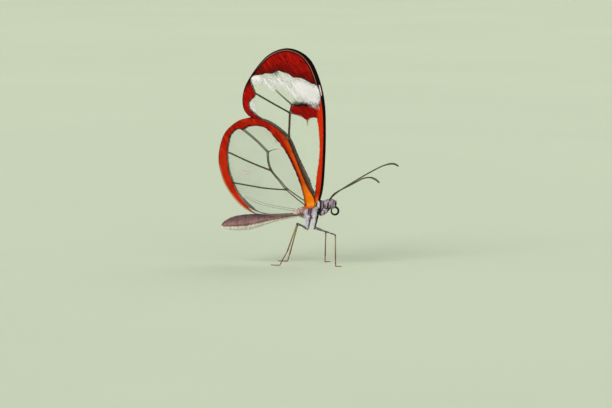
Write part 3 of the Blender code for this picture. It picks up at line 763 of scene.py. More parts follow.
# where the marks of the borders begin and where they are full, in mm: by height unless the name says
# front or rear, along the border unless it says width; a single number is a share or a place
wingMarks = {
    "forewing": {
        "tip": (31.0, 33.0), "nearBandWidth": (2.4, 0.2), "nearBand": 0.62,
        "streaks": (31.5, 33.5), "streak": 0.85, "patch": 0.35,
        "stripe": (30.0, 28.5), "stripeFront": (1.9, 2.5), "stripeBelow": (26.6, 25.8),
        "insideRimWidth": (0.46, 0.26), "root": (13.6, 12.8),
        "lineWidth": (0.17, 0.09), "line": (28.5, 30.5), "lineFront": (-9.5, -7.0), "lineShare": 0.75,
        "edgeWidth": 0.13, "edgeRear": (2.2, 1.6), "patchTop": 28.62, "patchTopRear": (2.9, 2.2),
        "rear": (25.0, 22.5), "rearRear": (1.6, 1.4),
        "glintBottom": (30.5, 30.8), "glintTop": (32.6, 32.3), "glintFront": (1.8, 2.3),
        "glintOuterWidth": (0.10, 0.15), "glintInnerWidth": (0.36, 0.30), "glintShare": 0.9,
    },
    "hindwing": {
        "leadingFront": (-5.6, -1.6), "lower": (23.0, 18.5), "lowerRear": (-9.0, -12.0), "lowerShare": 0.55,
        "root": (15.5, 13.0), "rootFront": (-2.4, -1.4), "rootDark": 0.75,
        "lineWidth": (0.22, 0.06), "line": (19.0, 15.0), "lineRear": (-9.0, -11.5), "lineShare": 0.8,
        "edgeWidth": 0.17, "edge": (12.5, 16.0),
    },
}


def wingMaterial(kind):
    colours, marks = wingColours[kind], wingMarks[kind]
    material, tree, shader = newMaterial(kind)
    spot = spotOf(tree)
    parts = addNode(tree, "SeparateXYZ", {0: spot}).outputs
    x, z = parts[0], parts[2]
    edge, past, border, patch = (value(tree, name) for name in ("edge", "past", "border", "patch"))
    veinRatio, veinShow = value(tree, "veinRatio"), value(tree, "veinShow")
    pale, outer = value(tree, "pale"), value(tree, "outer")
    scales = useGroup(tree, scaleRows, {"Place": spot, "Size": 0.10, "Depth": 0.5})
    tone = mottled(tree, spot, 0.9, 0.78, 1.14)
    paint = {name: rgb(*colour) for name, colour in colours.items()
             if isinstance(colour, tuple) and len(colour) == 3}

    def rough(distance, at, ragged, softness, scale):
        inputs = {"Distance": distance, "Place": spot, "Edge": at, "Raggedness": ragged,
                  "Softness": softness, "Scale": scale}
        return useGroup(tree, raggedMask, inputs)["Mask"]

    inBorder = rough(border, 0.0, 0.38, 0.06, 2.2)
    inPatch = rough(patch, 0.0, 0.5, 0.07, 1.6)
    onRim = inverse(tree, rough(past, 0.0, 0.14, 0.05, 1.8))
    alongVeins = noise(tree, stretch(tree, spot, (0, -36, 0), (0.3, 1.0, 2.2)), 1.0, 4.0, 0.65)
    red = tint(tree, fade(tree, alongVeins, 0.46, 0.66), paint["red"], paint["bright"])
    if kind == "forewing":
        # the tip darkens towards the white band, with a few dark streaks
        tip = fade(tree, z, *marks["tip"])
        nearBand = product(tree, tip, fade(tree, border, *marks["nearBandWidth"]), marks["nearBand"])
        streaks = noise(tree, stretch(tree, spot, (0, -48, 0), (0.30, 1.0, 1.4)), 0.9, 4.0, 0.6)
        streaks = product(tree, fade(tree, z, *marks["streaks"]), fade(tree, streaks, 0.52, 0.66),
                          marks["streak"])
        onPatch = product(tree, inPatch, marks["patch"])
        inFront = largest(tree, fade(tree, x, *marks["stripeFront"]), fade(tree, z, *marks["stripeBelow"]))
        stripe = product(tree, fade(tree, z, *marks["stripe"]), inFront)
        insideRim = product(tree, fade(tree, past, *marks["insideRimWidth"]), tip)
        for share, name in ((nearBand, "deep"), (streaks, "deep"), (onPatch, "deep"), (stripe, "stripe"),
                            (insideRim, "deep")):
            red = tint(tree, share, red, paint[name])
        atRoot = fade(tree, z, *marks["root"])
        thinLine = product(tree, rough(past, 0.0, 0.06, 0.03, 1.8), fade(tree, past, *marks["lineWidth"]),
                           fade(tree, z, *marks["line"]), fade(tree, x, *marks["lineFront"]),
                           marks["lineShare"])
        innerEdge = fade(tree, x, *marks["edgeRear"])
        topOfPatch = product(tree, rough(z, marks["patchTop"], 0.7, 0.14, 1.8), inPatch,
                             fade(tree, x, *marks["patchTopRear"]))
        rear = product(tree, fade(tree, z, *marks["rear"]), fade(tree, x, *marks["rearRear"]))
        glint = product(tree, fade(tree, z, *marks["glintBottom"]), fade(tree, z, *marks["glintTop"]),
                        fade(tree, x, *marks["glintFront"]), fade(tree, edge, *marks["glintOuterWidth"]),
                        fade(tree, edge, *marks["glintInnerWidth"]), marks["glintShare"])
    else:
        # the leading band runs from dark at its inner edge to orange at its outer one
        leading = fade(tree, x, *marks["leadingFront"])
        across = calc(tree, "DIVIDE", edge, calc(tree, "ADD", calc(tree, "ADD", edge, border), 0.01))
        red = tint(tree, product(tree, leading, fade(tree, across, 0.70, 0.36)), red, paint["stripe"])
        red = tint(tree, product(tree, leading, fade(tree, across, 0.60, 0.85)), red, paint["deep"])
        lower = product(tree, fade(tree, z, *marks["lower"]), fade(tree, x, *marks["lowerRear"]),
                        marks["lowerShare"])
        red = tint(tree, lower, red, paint["bright"])
        atRoot = product(tree, fade(tree, z, *marks["root"]), fade(tree, x, *marks["rootFront"]))
        thinLine = product(tree, fade(tree, past, *marks["lineWidth"]), fade(tree, z, *marks["line"]),
                           fade(tree, x, *marks["lineRear"]), marks["lineShare"])
        innerEdge = fade(tree, z, *marks["edge"])
    innerEdge = product(tree, inBorder, inverse(tree, rough(border, marks["edgeWidth"], 0.42, 0.06, 0.9)),
                        innerEdge)
    stops = colours["root"]
    low, high = stops[0][0], stops[-1][0]
    shares = [((height - low) / (high - low), colour) for height, colour in stops]
    root = ramp(tree, spread(tree, z, low, high), shares)
    red = tint(tree, atRoot, red, root)
    if kind == "hindwing":
        rearEdge = product(tree, atRoot, fade(tree, across, 0.62, 0.92), marks["rootDark"])
        red = tint(tree, rearEdge, red, paint["deep"])
    # dark wedges where the veins run into the border
    wedge = product(tree, inBorder, fade(tree, veinRatio, 3.6, 1.0), fade(tree, border, 0.6, 0.05),
                    veinShow)
    red = tint(tree, largest(tree, innerEdge, wedge), red, paint["black"])
    if kind == "forewing":
        red = tint(tree, rear, red, paint["rear"])
        red = tint(tree, topOfPatch, red, paint["black"])
    red = tint(tree, onRim, red, paint["black"])
    red = tint(tree, thinLine, red, paint["line"])
    if kind == "forewing":
        red = tint(tree, glint, red, paint["glint"])
    scaled = largest(tree, inBorder, inPatch, onRim)
    dorsal = tint(tree, fade(tree, scales["Tone"], 0.2, 0.9), paint["upperside"], paint["black"])
    scaledColour = shade(tree, tint(tree, outer, dorsal, red), tone, 0.85)

    brush = noise(tree, stretch(tree, spot, (0, -39, 0), (0.20, 1.0, 2.2)), 1.5, 3.0, 0.7)
    paleEdge = calc(tree, "MULTIPLY_ADD", calc(tree, "SUBTRACT", brush, 0.5), 2.4, pale)
    onPale = product(tree, fade(tree, paleEdge, 0.15, 0.85), fade(tree, pale, 0.02, 0.25),
                     inverse(tree, scaled))
    onVein = product(tree, fade(tree, veinRatio, 1.25, 0.85), veinShow, inverse(tree, onPale))
    # pale where the pale value stands: the white band, and on the hindwing a painted highlight too
    colour = tint(tree, onPale, paint["membrane"], paint["pale"])
    colour = tint(tree, onVein, colour, paint["vein"])
    colour = tint(tree, scaled, colour, scaledColour)
    haze = spread(tree, noise(tree, spot, 0.35, 3.0), 0.3, 0.7, *colours["haze"])
    cloud = product(tree, fade(tree, x, -4.0, -13.5), fade(tree, z, 22.0, 14.0), colours["cloud"])
    haze = product(tree, calc(tree, "ADD", haze, cloud), outer)
    alpha = largest(tree, haze, product(tree, onPale, 0.96), onVein, scaled)
    covered = largest(tree, scaled, onPale)
    wrinkle = noise(tree, stretch(tree, spot, (0, 20, 0), (1.0, 1.0, 0.5)), 1.1, 3.0)
    height = tint(tree, covered, wrinkle, scales["Height"])
    fill(tree, shader, {
        "Base Color": colour, "Alpha": alpha, "Normal": bumpFrom(tree, height, 0.00003, 0.7),
        "Roughness": spread(tree, covered, toLow=0.16, toHigh=0.58), "Specular IOR Level": 0.06,
    })
    return material


# Forms that are put together into one piece: points, faces and values for each point

def joinForms(name, forms):
    points, faces, start = [], [], 0
    for form in forms:
        points.append(form["points"])
        faces += [tuple(int(v) + start for v in face) for face in form["faces"]]
        start += len(form["points"])
    allPoints = np.vstack(points)
    # tufts have flat sides, the rest is smooth
    piece = addMesh(name, place(allPoints), faces, "uv" not in forms[0])
    for key in forms[0]:
        if key not in ("points", "faces", "uv", "spots"):
            addValue(piece, key, np.concatenate([form[key] for form in forms]))
    addSpots(piece, np.vstack([form.get("spots", form["points"]) for form in forms]))
    if "uv" in forms[0]:
        corners = np.zeros(len(piece.data.loops), np.int32)
        piece.data.loops.foreach_get("vertex_index", corners)
        layer = piece.data.uv_layers.new(name="OFBake")
        unwrap = np.vstack([form["uv"] for form in forms])[corners]
        layer.data.foreach_set("uv", unwrap.astype(np.float32).ravel())
    return piece


# closed form through rings of points, with a point at each end
def ringForm(rings, start, end):
    count, sides = len(rings), len(rings[0])
    points = np.vstack([np.concatenate(rings), [start], [end]])
    k = np.arange(sides)
    beside = (k + 1) % sides
    faces = []
    for i in range(count - 1):
        low, high = i * sides, (i + 1) * sides
        faces += np.stack([low + k, low + beside, high + beside, high + k], 1).tolist()
    first, last, base = count * sides, count * sides + 1, (count - 1) * sides
    faces += [(first, int(b), int(a)) for a, b in zip(k, beside)]
    faces += [(last, base + int(a), base + int(b)) for a, b in zip(k, beside)]
    return {"points": points, "faces": faces}


sideways = np.array([0.0, 1.0, 0.0])
tipRound, tipStep, tipSize = 0.6, 0.6, 0.72    # how a tube's ends are rounded off


# tapering tube on a run of points; flat below 1 makes it thinner along one side
def tubeForm(run, radii, sides=12, flat=1.0):
    run = np.asarray(run, float)
    radii = np.broadcast_to(np.asarray(radii, float), len(run))
    ahead = unit(np.gradient(run, axis=0))
    side = sideways
    turns = np.arange(sides) * math.tau / sides
    rings = []
    for point, forward, radius in zip(run, ahead, radii):
        side = unit(side - forward * side.dot(forward))
        circle = np.outer(np.cos(turns), side) * flat + np.outer(np.sin(turns), np.cross(forward, side))
        rings.append(point + radius * circle)
    tip, tail = ahead[-1] * radii[-1] * tipRound, ahead[0] * radii[0] * tipRound
    first = run[0] - tail * tipStep + (rings[0] - run[0]) * tipSize
    last = run[-1] + tip * tipStep + (rings[-1] - run[-1]) * tipSize
    return ringForm([first] + rings + [last], run[0] - tail, run[-1] + tip)


# values along a tube, for each of its points
def alongTube(values, sides, last=1.0):
    return np.concatenate([np.zeros(sides), np.repeat(values, sides), np.full(sides, last), [0, last]])


# Tufts: thin closed blades that lie along the surface, rooted a little under it
def tuftForm(roots, normals, lies, lengths, widths, rises, unwrap, **values):
    count = len(roots)
    normals = unit(normals)
    lies = unit(lies - normals * (lies * normals).sum(1)[:, None])
    across = np.cross(normals, lies)
    w, l, r = widths[:, None], lengths[:, None], rises[:, None]
    root = roots - normals * 0.03
    middle = roots + lies * l * 0.45 + normals * r
    tip = roots + lies * l + normals * r * 0.75
    blade = [root - across * w, root + across * w, root + normals * w * 0.5,
             middle - across * w * 0.9, middle + across * w * 0.9, middle + normals * w * 0.5, tip]
    shape = [(0, 2, 1), (0, 1, 4), (0, 4, 3), (1, 2, 5), (1, 5, 4), (2, 0, 3), (2, 3, 5),
             (3, 4, 6), (4, 5, 6), (5, 3, 6)]
    patch = np.array([(-1, -1), (1, -1), (0, -0.9), (-0.8, 0), (0.8, 0), (0, 0.2), (0, 1)]) * 0.0015
    faces = (np.arange(count)[:, None, None] * 7 + np.array(shape)).reshape(-1, 3)
    form = {
        "points": np.stack(blade, 1).reshape(-1, 3),
        "faces": faces.tolist(),
        "spots": np.repeat(roots, 7, 0),
        "uv": (np.clip(unwrap, 0.002, 0.998)[:, None] + patch).reshape(-1, 2),
        "along": np.tile([0, 0, 0, 0.45, 0.45, 0.45, 1.0], count),
    }
    for key, found in values.items():
        form[key] = np.repeat(found, 7)
    return form


# Body skin and coat

def bodySkin():
    sides = bodyShape["sides"]
    (first, tail), (last, face) = bodyShape["from"], bodyShape["to"]
    stations = np.arange(first, last, bodyShape["step"])
    angles = np.arange(sides) * math.tau / sides
    rings = [skinPoint(np.full(sides, x), angles) for x in stations]
    form = ringForm(rings, skinPoint(np.array([tail]), np.zeros(1))[0] * [1, 0, 1],
                    skinPoint(np.array([face]), np.zeros(1))[0] * [1, 0, 1])
    form["lift"] = np.concatenate([np.tile(np.sin(angles), len(stations)), [0, 0]])
    return joinForms("bodySkin", [form])


# where each coat begins and ends along x, its number of tufts and their size
coats = {
    "abdomenCoat": {"slot": "abdomen", "x": (-15.65, -0.7), "count": 9500, "length": 0.30, "width": 0.030,
                    "rise": 0.035, "seed": 3},
    "thoraxCoat": {"slot": "thorax", "x": (-0.9, 3.1), "count": 7500, "length": 0.46, "width": 0.026,
                   "rise": 0.075, "seed": 5},
    "collarCoat": {"slot": "thorax", "x": (2.7, 3.7), "count": 1800, "length": 0.50, "width": 0.022,
                   "rise": 0.085, "seed": 6},
    "headCoat": {"slot": "head", "x": (3.3, 5.6), "count": 4200, "length": 0.27, "width": 0.020,
                 "rise": 0.055, "seed": 7},
}


def bodyCoat(name):
    coat = coats[name]
    rng = np.random.default_rng(coat["seed"])
    low, high = coat["x"]
    trial = rng.uniform(low, high, coat["count"] * 3)
    top, bottom, half = bodyAt(trial)
    girth = (top - bottom) / 2 + half
    x = trial[rng.random(len(trial)) < girth / girth.max()][:coat["count"]]
    angle = rng.uniform(0, math.tau, len(x))
    if name == "headCoat":
        # bare where the eyes are
        halfLong, halfHigh = eyes["bareHalf"]
        eye = np.hypot((x - eyes["centre"][0]) / halfLong, np.sin(angle) * 0.95 / halfHigh)
        keep = (eye > 1.0) | (np.abs(np.cos(angle)) < 0.35)
        x, angle = x[keep], angle[keep]
    points = skinPoint(x, angle)
    alongX = skinPoint(x + 0.02, angle) - points
    around = skinPoint(x, angle + 0.02) - points
    normals = np.cross(alongX, around)
    top, bottom, _ = bodyAt(x)
    outward = points - np.stack([x, 0 * x, (top + bottom) / 2], 1)
    normals *= np.sign((normals * outward).sum(1))[:, None]
    lies = np.tile([-1.0, 0.0, -0.12], (len(x), 1))
    if name in ("thoraxCoat", "collarCoat"):
        lies = np.stack([-0.55 - 0.4 * np.sin(angle), 0.2 * np.cos(angle), -0.85 + 0.5 * np.sin(angle)], 1)
    if name == "headCoat":
        lies = np.stack([-0.35 + 0.5 * (x > 5.2), 0.15 * np.cos(angle), 0.75 * np.sin(angle) + 0.25], 1)
    lies = lies + rng.normal(0, 0.16, lies.shape)
    count = len(x)
    lengths = coat["length"] * rng.uniform(0.7, 1.25, count)
    rear, front = bodyRun[0][0], bodyRun[-1][0]
    unwrap = np.stack([(x - rear) / (front - rear), (angle % math.tau) / math.tau], 1)
    form = tuftForm(points, normals, lies, lengths, coat["width"] * rng.uniform(0.7, 1.2, count),
                    coat["rise"] * rng.uniform(0.5, 1.3, count), unwrap,
                    lift=np.sin(angle), tone=rng.uniform(0, 1, count))
    return joinForms(name, [form])


# skin and tufts share the markings; tufts differ a little from one to the next
def bodyMaterial(name, isCoat):
    material, tree, shader = newMaterial(name)
    spot = spotOf(tree)
    colour = useGroup(tree, bodyMarkings, {"Place": spot, "Lift": value(tree, "lift")})["Color"]
    if isCoat:
        # painted shade: each tuft is a little darker at its root, where the tufts over it shade it
        tone = product(tree, spread(tree, value(tree, "tone"), toLow=0.82, toHigh=1.32),
                       fade(tree, value(tree, "along"), -0.6, 0.3))
    else:
        tone = mottled(tree, spot, 2.5, 0.5, 0.8)
        hair = noise(tree, stretch(tree, spot, size=(1.0, 0.2, 0.2)), 4.0, 3.0)
        fill(tree, shader, {"Normal": bumpFrom(tree, hair, 0.00004, 0.8)})
    fill(tree, shader, {"Base Color": shade(tree, colour, tone), "Roughness": 0.62,
                        "Specular IOR Level": 0.25, "Sheen Weight": 0.10})
    return material


# Eyes, feelers and tongue

eyes = {"centre": (4.72, 0.60, 11.12), "half": (0.64, 0.62, 0.69), "facet": 0.045, "bareHalf": (0.62, 0.66),
        "dark": (36, 18, 28), "pale": (158, 136, 148), "spots": (24, 12, 20)}


def eyeForm(sign):
    rows, sides = 26, 44
    _, wide, _ = eyes["half"]
    turns = np.arange(sides) * math.tau / sides
    centre = np.array(eyes["centre"]) * [1, sign, 1]
    rings = []
    for tilt in np.linspace(0.06, math.pi - 0.06, rows):
        # a little squarer than an ellipse, as a butterfly's eye is
        across = np.sin(tilt) ** 0.92
        ring = [across * np.cos(turns), np.full(sides, sign * np.cos(tilt)), -sign * across * np.sin(turns)]
        rings.append(centre + np.array(eyes["half"]) * np.stack(ring, 1))
    return ringForm(rings, centre + [0, sign * wide, 0], centre - [0, sign * wide, 0])


def eyeMaterial():
    material, tree, shader = newMaterial("eye")
    spot = spotOf(tree)
    cells = addNode(tree, "TexVoronoi", {"Vector": spot, "Scale": 1 / eyes["facet"], "Randomness": 0.25})
    bands = noise(tree, stretch(tree, spot, (0, 4, 0), (0.22, 0.8, 1.6)), 1.1, 2.0)
    colour = tint(tree, fade(tree, bands, 0.42, 0.60), rgb(*eyes["dark"]), rgb(*eyes["pale"]))
    # the few dark spots that a live eye shows
    spots = addNode(tree, "TexVoronoi", {"Vector": spot, "Scale": 2.6, "Randomness": 1.0}).outputs["Distance"]
    colour = tint(tree, fade(tree, spots, 0.16, 0.06), colour, rgb(*eyes["spots"]))
    lens = inverse(tree, cells.outputs["Distance"])
    fill(tree, shader, {"Base Color": colour, "Normal": bumpFrom(tree, lens, 0.000012, 0.6),
                        "Roughness": 0.22, "Coat Weight": 0.5, "Coat Roughness": 0.12})
    return material


feelers = {
    "left": [(4.45, 0.24, 11.7), (4.60, 0.32, 12.2), (5.60, 1.10, 13.2), (7.65, 2.80, 14.65),
             (10.65, 4.90, 16.55), (12.95, 6.15, 17.75), (14.50, 6.85, 18.05), (15.40, 7.20, 17.62)],
    "right": [(4.45, -0.24, 11.7), (4.65, -0.34, 12.2), (5.90, -1.30, 13.33), (9.50, -4.00, 15.12),
              (11.75, -5.50, 16.25), (13.25, -6.30, 16.55), (14.30, -6.80, 16.30), (15.10, -7.10, 15.75)],
    "joints": 38,
    "sides": 14,
    "thin": 0.125, "club": 0.19, "clubFrom": 0.80, "groove": 0.16,
    "root": (14, 10, 7), "shaft": (60, 62, 20), "end": (76, 74, 22), "ring": (120, 112, 76),
}


def antennaForms(side):
    run, sides = smoothRun(feelers[side], 40), feelers["sides"]
    lengths = lengthAlong(run)
    evenT = np.linspace(0.0, 1.0, feelers["joints"] * 8 + 1)
    even = pointsAt(evenT, lengths / lengths[-1], run)
    club = soft(evenT, feelers["clubFrom"], 0.92) * (1 - 0.55 * soft(evenT, 0.95, 1.0))
    radii = feelers["thin"] + (feelers["club"] - feelers["thin"]) * club
    phase = (evenT * feelers["joints"]) % 1.0
    radii = radii * (1 - feelers["groove"] * np.exp(-(np.minimum(phase, 1 - phase) / 0.13) ** 2))
    shaft = tubeForm(even, radii, sides)
    shaft["along"] = alongTube(evenT, sides)
    shaft["joint"] = alongTube(phase, sides, 0.0)
    # the thick first joint
    base = even[2]
    scape = tubeForm([base - (even[8] - even[2]) * 0.3, base, even[6]], [0.17, 0.19, 0.15], sides)
    for key in ("along", "joint"):
        scape[key] = np.zeros(len(scape["points"]))
    return [shaft, scape]


def antennaMaterial():
    material, tree, shader = newMaterial("antenna")
    spot, along, joint = spotOf(tree), value(tree, "along"), value(tree, "joint")
    root, middle, end, ring = (rgb(*feelers[name]) for name in ("root", "shaft", "end", "ring"))
    colour = tint(tree, fade(tree, along, 0.04, 0.24), root, middle)
    colour = tint(tree, fade(tree, along, 0.75, 0.95), colour, end)
    colour = tint(tree, product(tree, fade(tree, joint, 0.20, 0.06), 0.35), colour, ring)
    scales = useGroup(tree, scaleRows, {"Place": spot, "Size": 0.06, "Depth": 0.6})["Height"]
    fill(tree, shader, {"Base Color": shade(tree, colour, mottled(tree, spot, 3.0, 0.8, 1.2)),
                        "Normal": bumpFrom(tree, scales, 0.00001, 0.6), "Roughness": 0.48})
    return material


tongue = {"centre": (5.31, 9.88), "radius": 0.70, "thick": 0.20, "root": (4.95, 10.80), "bend": (5.22, 10.72),
          "from": 76.0, "turn": -290.0, "ridges": 70, "points": 280, "sides": 16, "colour": (9, 7, 5)}


def tongueForm():
    t = np.linspace(0, 1, tongue["points"])
    angle = np.radians(tongue["from"] + tongue["turn"] * t)
    radius = tongue["radius"] * (1 - 0.10 * t)
    x, z = tongue["centre"]
    ring = np.stack([x + radius * np.cos(angle), 0.02 * np.sin(t * 9), z + radius * np.sin(angle)], 1)
    (rootX, rootZ), (bendX, bendZ) = tongue["root"], tongue["bend"]
    root = smoothRun([(rootX, 0.0, rootZ), (bendX, 0.0, bendZ), tuple(ring[0])], 8)[:-1]
    run = np.vstack([root, ring])
    share = np.linspace(0, 1, len(run))
    ridges = 1 - 0.07 * np.cos(share * math.tau * tongue["ridges"]) ** 8
    form = tubeForm(run, tongue["thick"] * (1 - 0.45 * share ** 3) * ridges, tongue["sides"], flat=0.9)
    form["along"] = alongTube(share, tongue["sides"])
    return form


def tongueMaterial():
    material, tree, shader = newMaterial("tongue")
    spot, along = spotOf(tree), value(tree, "along")
    ridges = calc(tree, "PINGPONG", calc(tree, "MULTIPLY", along, tongue["ridges"] * 2.0), 1.0)
    tone = mottled(tree, spot, 4.0, 0.5, 1.5)
    fill(tree, shader, {"Base Color": shade(tree, rgb(*tongue["colour"]), tone),
                        "Normal": bumpFrom(tree, ridges, 0.000012, 0.7),
                        "Roughness": 0.35, "Specular IOR Level": 0.25})
    return material


# the scaled parts of the left side; the right side mirrors them
limbs = {
    "palp": {"slot": "palp", "lift": 0.0, "tufts": 500, "length": 0.26, "width": 0.018, "rise": 0.04,
             "run": [(4.75, 0.36, 10.66), (5.12, 0.52, 10.68), (5.36, 0.52, 11.08), (5.42, 0.46, 11.62)],
             "radii": [0.13, 0.17, 0.16, 0.05]},
    "foreleg": {"slot": "foreleg", "lift": -0.3, "tufts": 1300, "length": 0.34, "width": 0.022, "rise": 0.04,
                "run": [(2.60, 0.58, 10.3), (2.70, 0.64, 9.7), (2.96, 0.68, 9.32), (3.38, 0.70, 9.62),
                        (3.86, 0.70, 10.1)],
                "radii": [0.22, 0.27, 0.28, 0.33, 0.27]},
    # pale plate over the forewing's joint, which takes the pale part of the thorax's markings
    "tegula": {"slot": "thorax", "lift": -0.3, "tufts": 500, "length": 0.34, "width": 0.022, "rise": 0.04,
               "run": [(2.46, 1.02, 11.72), (2.60, 1.14, 11.25), (2.62, 1.16, 10.66)],
               "radii": [0.10, 0.17, 0.10], "markingsFrom": 0.45},
}


# a scaled limb: its core and the tufts that lie down it
def scaledLimb(limb, run, rng, flat=1.0, sides=12):
    run, radii, tufts = np.asarray(run, float), stretched(limb["radii"], len(run)), limb["tufts"]
    core = tubeForm(run, radii, sides, flat)
    core["lift"] = np.full(len(core["points"]), limb["lift"])
    steps = lengthAlong(run)
    at = rng.uniform(0, steps[-1], tufts)
    centre = pointsAt(at, steps, run)
    ahead = unit(pointsAt(at, steps, np.gradient(run, axis=0)))
    side = unit(sideways - ahead * (ahead @ sideways)[:, None])
    across = np.cross(ahead, side)
    angle = rng.uniform(0, math.tau, tufts)
    radius = np.interp(at, steps, radii)[:, None]
    out = side * np.cos(angle)[:, None] * flat + across * np.sin(angle)[:, None]
    normals = side * np.cos(angle)[:, None] + across * np.sin(angle)[:, None] * flat
    unwrap = np.stack([at / steps[-1], angle / math.tau], 1)
    coat = tuftForm(centre + out * radius, normals, ahead + rng.normal(0, 0.12, ahead.shape),
                    limb["length"] * rng.uniform(0.7, 1.2, tufts),
                    limb["width"] * rng.uniform(0.7, 1.2, tufts),
                    limb["rise"] * rng.uniform(0.5, 1.3, tufts), unwrap,
                    lift=np.full(tufts, limb["lift"]), tone=rng.uniform(0, 1, tufts))
    return core, coat


# Legs

# hip, trochanter, knee, ankle, heel and toe
walkingLegs = {
    "midlegRight": [(2.06, -0.80, 10.1), (1.58, -0.85, 6.80), (5.79, -1.50, 5.71), (5.89, -1.75, 1.54),
                    (5.92, -1.80, 0.14), (6.95, -1.95, 0.11)],
    "midlegLeft": [(1.86, 0.80, 10.1), (1.36, 0.85, 6.80), (2.45, 5.05, 5.55), (2.30, 5.20, 1.30),
                   (2.28, 5.20, 0.14), (3.10, 5.45, 0.11)],
    "hindlegRight": [(0.78, -0.80, 10.0), (0.32, -0.85, 6.59), (-0.82, -3.20, 7.81), (-2.70, -3.00, 2.69),
                     (-4.20, -2.80, 0.15), (-5.75, -2.70, 0.11)],
    "hindlegLeft": [(0.56, 0.80, 10.0), (0.12, 0.85, 6.59), (-2.62, 4.20, 6.82), (-4.13, 4.30, 1.40),
                    (-4.60, 4.40, 0.15), (-6.25, 4.60, 0.11)],
}
legShape = {
    "trochanter": 0.17, "femur": [0.15, 0.17, 0.16, 0.14, 0.13], "tibia": [0.14, 0.125, 0.12, 0.12, 0.14],
    "femurBow": 0.07, "tarsus": 0.10, "tarsusEnds": (0.82, 1.12),
    "shares": [0.0, 0.44, 0.62, 0.76, 0.87, 1.0],    # where each joint of the foot ends
    "spines": 9, "spineLength": 0.17, "lastSpine": 0.34, "spineRadii": [0.020, 0.016, 0.011, 0.005],
    "clawRadii": (0.032, 0.008),
}
hip = {"radii": [0.36, 0.42, 0.41, 0.36, 0.29, 0.22, 0.17], "flat": 0.72, "tufts": 1500, "length": 0.34,
       "width": 0.026, "rise": 0.045, "lift": -0.2}
# which part of the body's slanting stripes each hip shows: at its middle, and how far on to front and rear
hipStripes = {"midleg": (1.66, 0.56, 0.38), "hindleg": (0.02, 0.52, 0.42)}
legColours = {
    # the femur's pale streak colour is a painted highlight: light glinting on its dark scales
    "femur": (40, 40, 48), "femurHighlight": (160, 152, 168), "knee": (52, 42, 52), "tibia": (166, 144, 106),
    "tibiaEnd": (112, 84, 40), "foot": (118, 56, 36), "footPale": (150, 86, 58), "claw": (44, 24, 18),
}


def straight(a, b, count):
    return np.array(a) + np.outer(np.linspace(0, 1, count), np.array(b) - np.array(a))


def stretched(values, count):
    return np.interp(np.linspace(0, 1, count), np.linspace(0, 1, len(values)), values)


def addShare(form, segment, share):
    form["segment"] = np.full(len(form["points"]), float(segment))
    form["share"] = np.full(len(form["points"]), float(share)) if np.isscalar(share) else share
    return form


def hipPieces(kind, top, bottom, rng):
    run = straight(top, bottom, 15)
    radii = stretched(hip["radii"], 15)
    core, coat = scaledLimb(hip, run, rng, hip["flat"], sides=20)
    middle, front, rear = hipStripes[kind]
    for form in (core, coat):
        spots = form.get("spots", form["points"]).copy()
        centre = np.interp(-spots[:, 2], -run[:, 2], run[:, 0])
        radius = np.interp(-spots[:, 2], -run[:, 2], radii)
        across = np.clip((spots[:, 0] - centre) / radius, -1, 1)
        band = middle + np.where(across > 0, across * front, across * rear)
        spots[:, 0] = band + 0.22 * spots[:, 2] - 1.87
        form["spots"] = spots
    return core, coat


# each form says which segment of the leg it is, and how far down that segment it lies
def walkingLeg(joints, rng):
    trochanter, knee, ankle, heel, toe = np.array(joints[1:])
    knob = tubeForm(straight(trochanter + [0, 0, 0.15], trochanter - [0, 0, 0.06], 5),
                    legShape["trochanter"], 14)
    forms = [addShare(knob, 0.5, 0.5)]
    points, sides = 26, 12
    for segment, key, a, b, bow in ((1, "femur", trochanter, knee, legShape["femurBow"]),
                                    (2, "tibia", knee, ankle, 0.0)):
        raised = np.sin(np.linspace(0, math.pi, points))[:, None] * np.array([0.0, 0.0, bow])
        form = tubeForm(straight(a, b, points) + raised, stretched(legShape[key], points), sides)
        forms.append(addShare(form, segment, alongTube(np.linspace(0, 1, points), sides)))
    path = smoothRun([ankle, ankle * 0.45 + heel * 0.55, heel, heel * 0.5 + toe * 0.5, toe], 12)
    # the foot's underside stays above the floor
    path[:, 2] = np.maximum(path[:, 2], legShape["tarsus"] * 1.25)
    steps = lengthAlong(path)
    steps /= steps[-1]
    shares = legShape["shares"]
    for i in range(5):
        t = np.linspace(shares[i], shares[i + 1] - 0.008, 9)
        size = legShape["tarsus"] * (1 - 0.07 * i) * np.linspace(*legShape["tarsusEnds"], 9)
        forms.append(addShare(tubeForm(pointsAt(t, steps, path), size, 10), 3, shares[i]))
    end = unit(path[-1] - path[-3])
    out = np.cross(end, [0, 0, 1.0])
    for sign in (-1, 1):
        # forward, outward and up from the end of the foot
        hook = [path[-1] + end * far + out * sign * wide + [0, 0, up]
                for far, wide, up in ((0, 0, 0), (0.09, 0.05, 0.03), (0.17, 0.09, 0.0), (0.20, 0.10, -0.05))]
        claw = tubeForm(smoothRun(hook, 4), np.linspace(*legShape["clawRadii"], 13), 6)
        forms.append(addShare(claw, 4, 1.0))
    # spines in two rows down the shin, the last two long
    shin = unit(ankle - knee)
    side = unit(np.cross(shin, [0.3, 1.0, 0.1]))
    other = np.cross(shin, side)
    for i in range(legShape["spines"] * 2):
        t = 0.2 + 0.8 * (i // 2) / (legShape["spines"] - 1)
        turn = (0.6 if i % 2 else 2.4) + rng.normal(0, 0.3)
        away = side * math.cos(turn) + other * math.sin(turn)
        root = knee + (ankle - knee) * min(t, 0.985) + away * 0.05
        length = legShape["lastSpine" if i // 2 == legShape["spines"] - 1 else "spineLength"]
        tip = root + shin * length * 0.85 + away * length * 0.5
        forms.append(addShare(tubeForm(straight(root, tip, 4), legShape["spineRadii"], 6), 4, 0.5))
    return forms


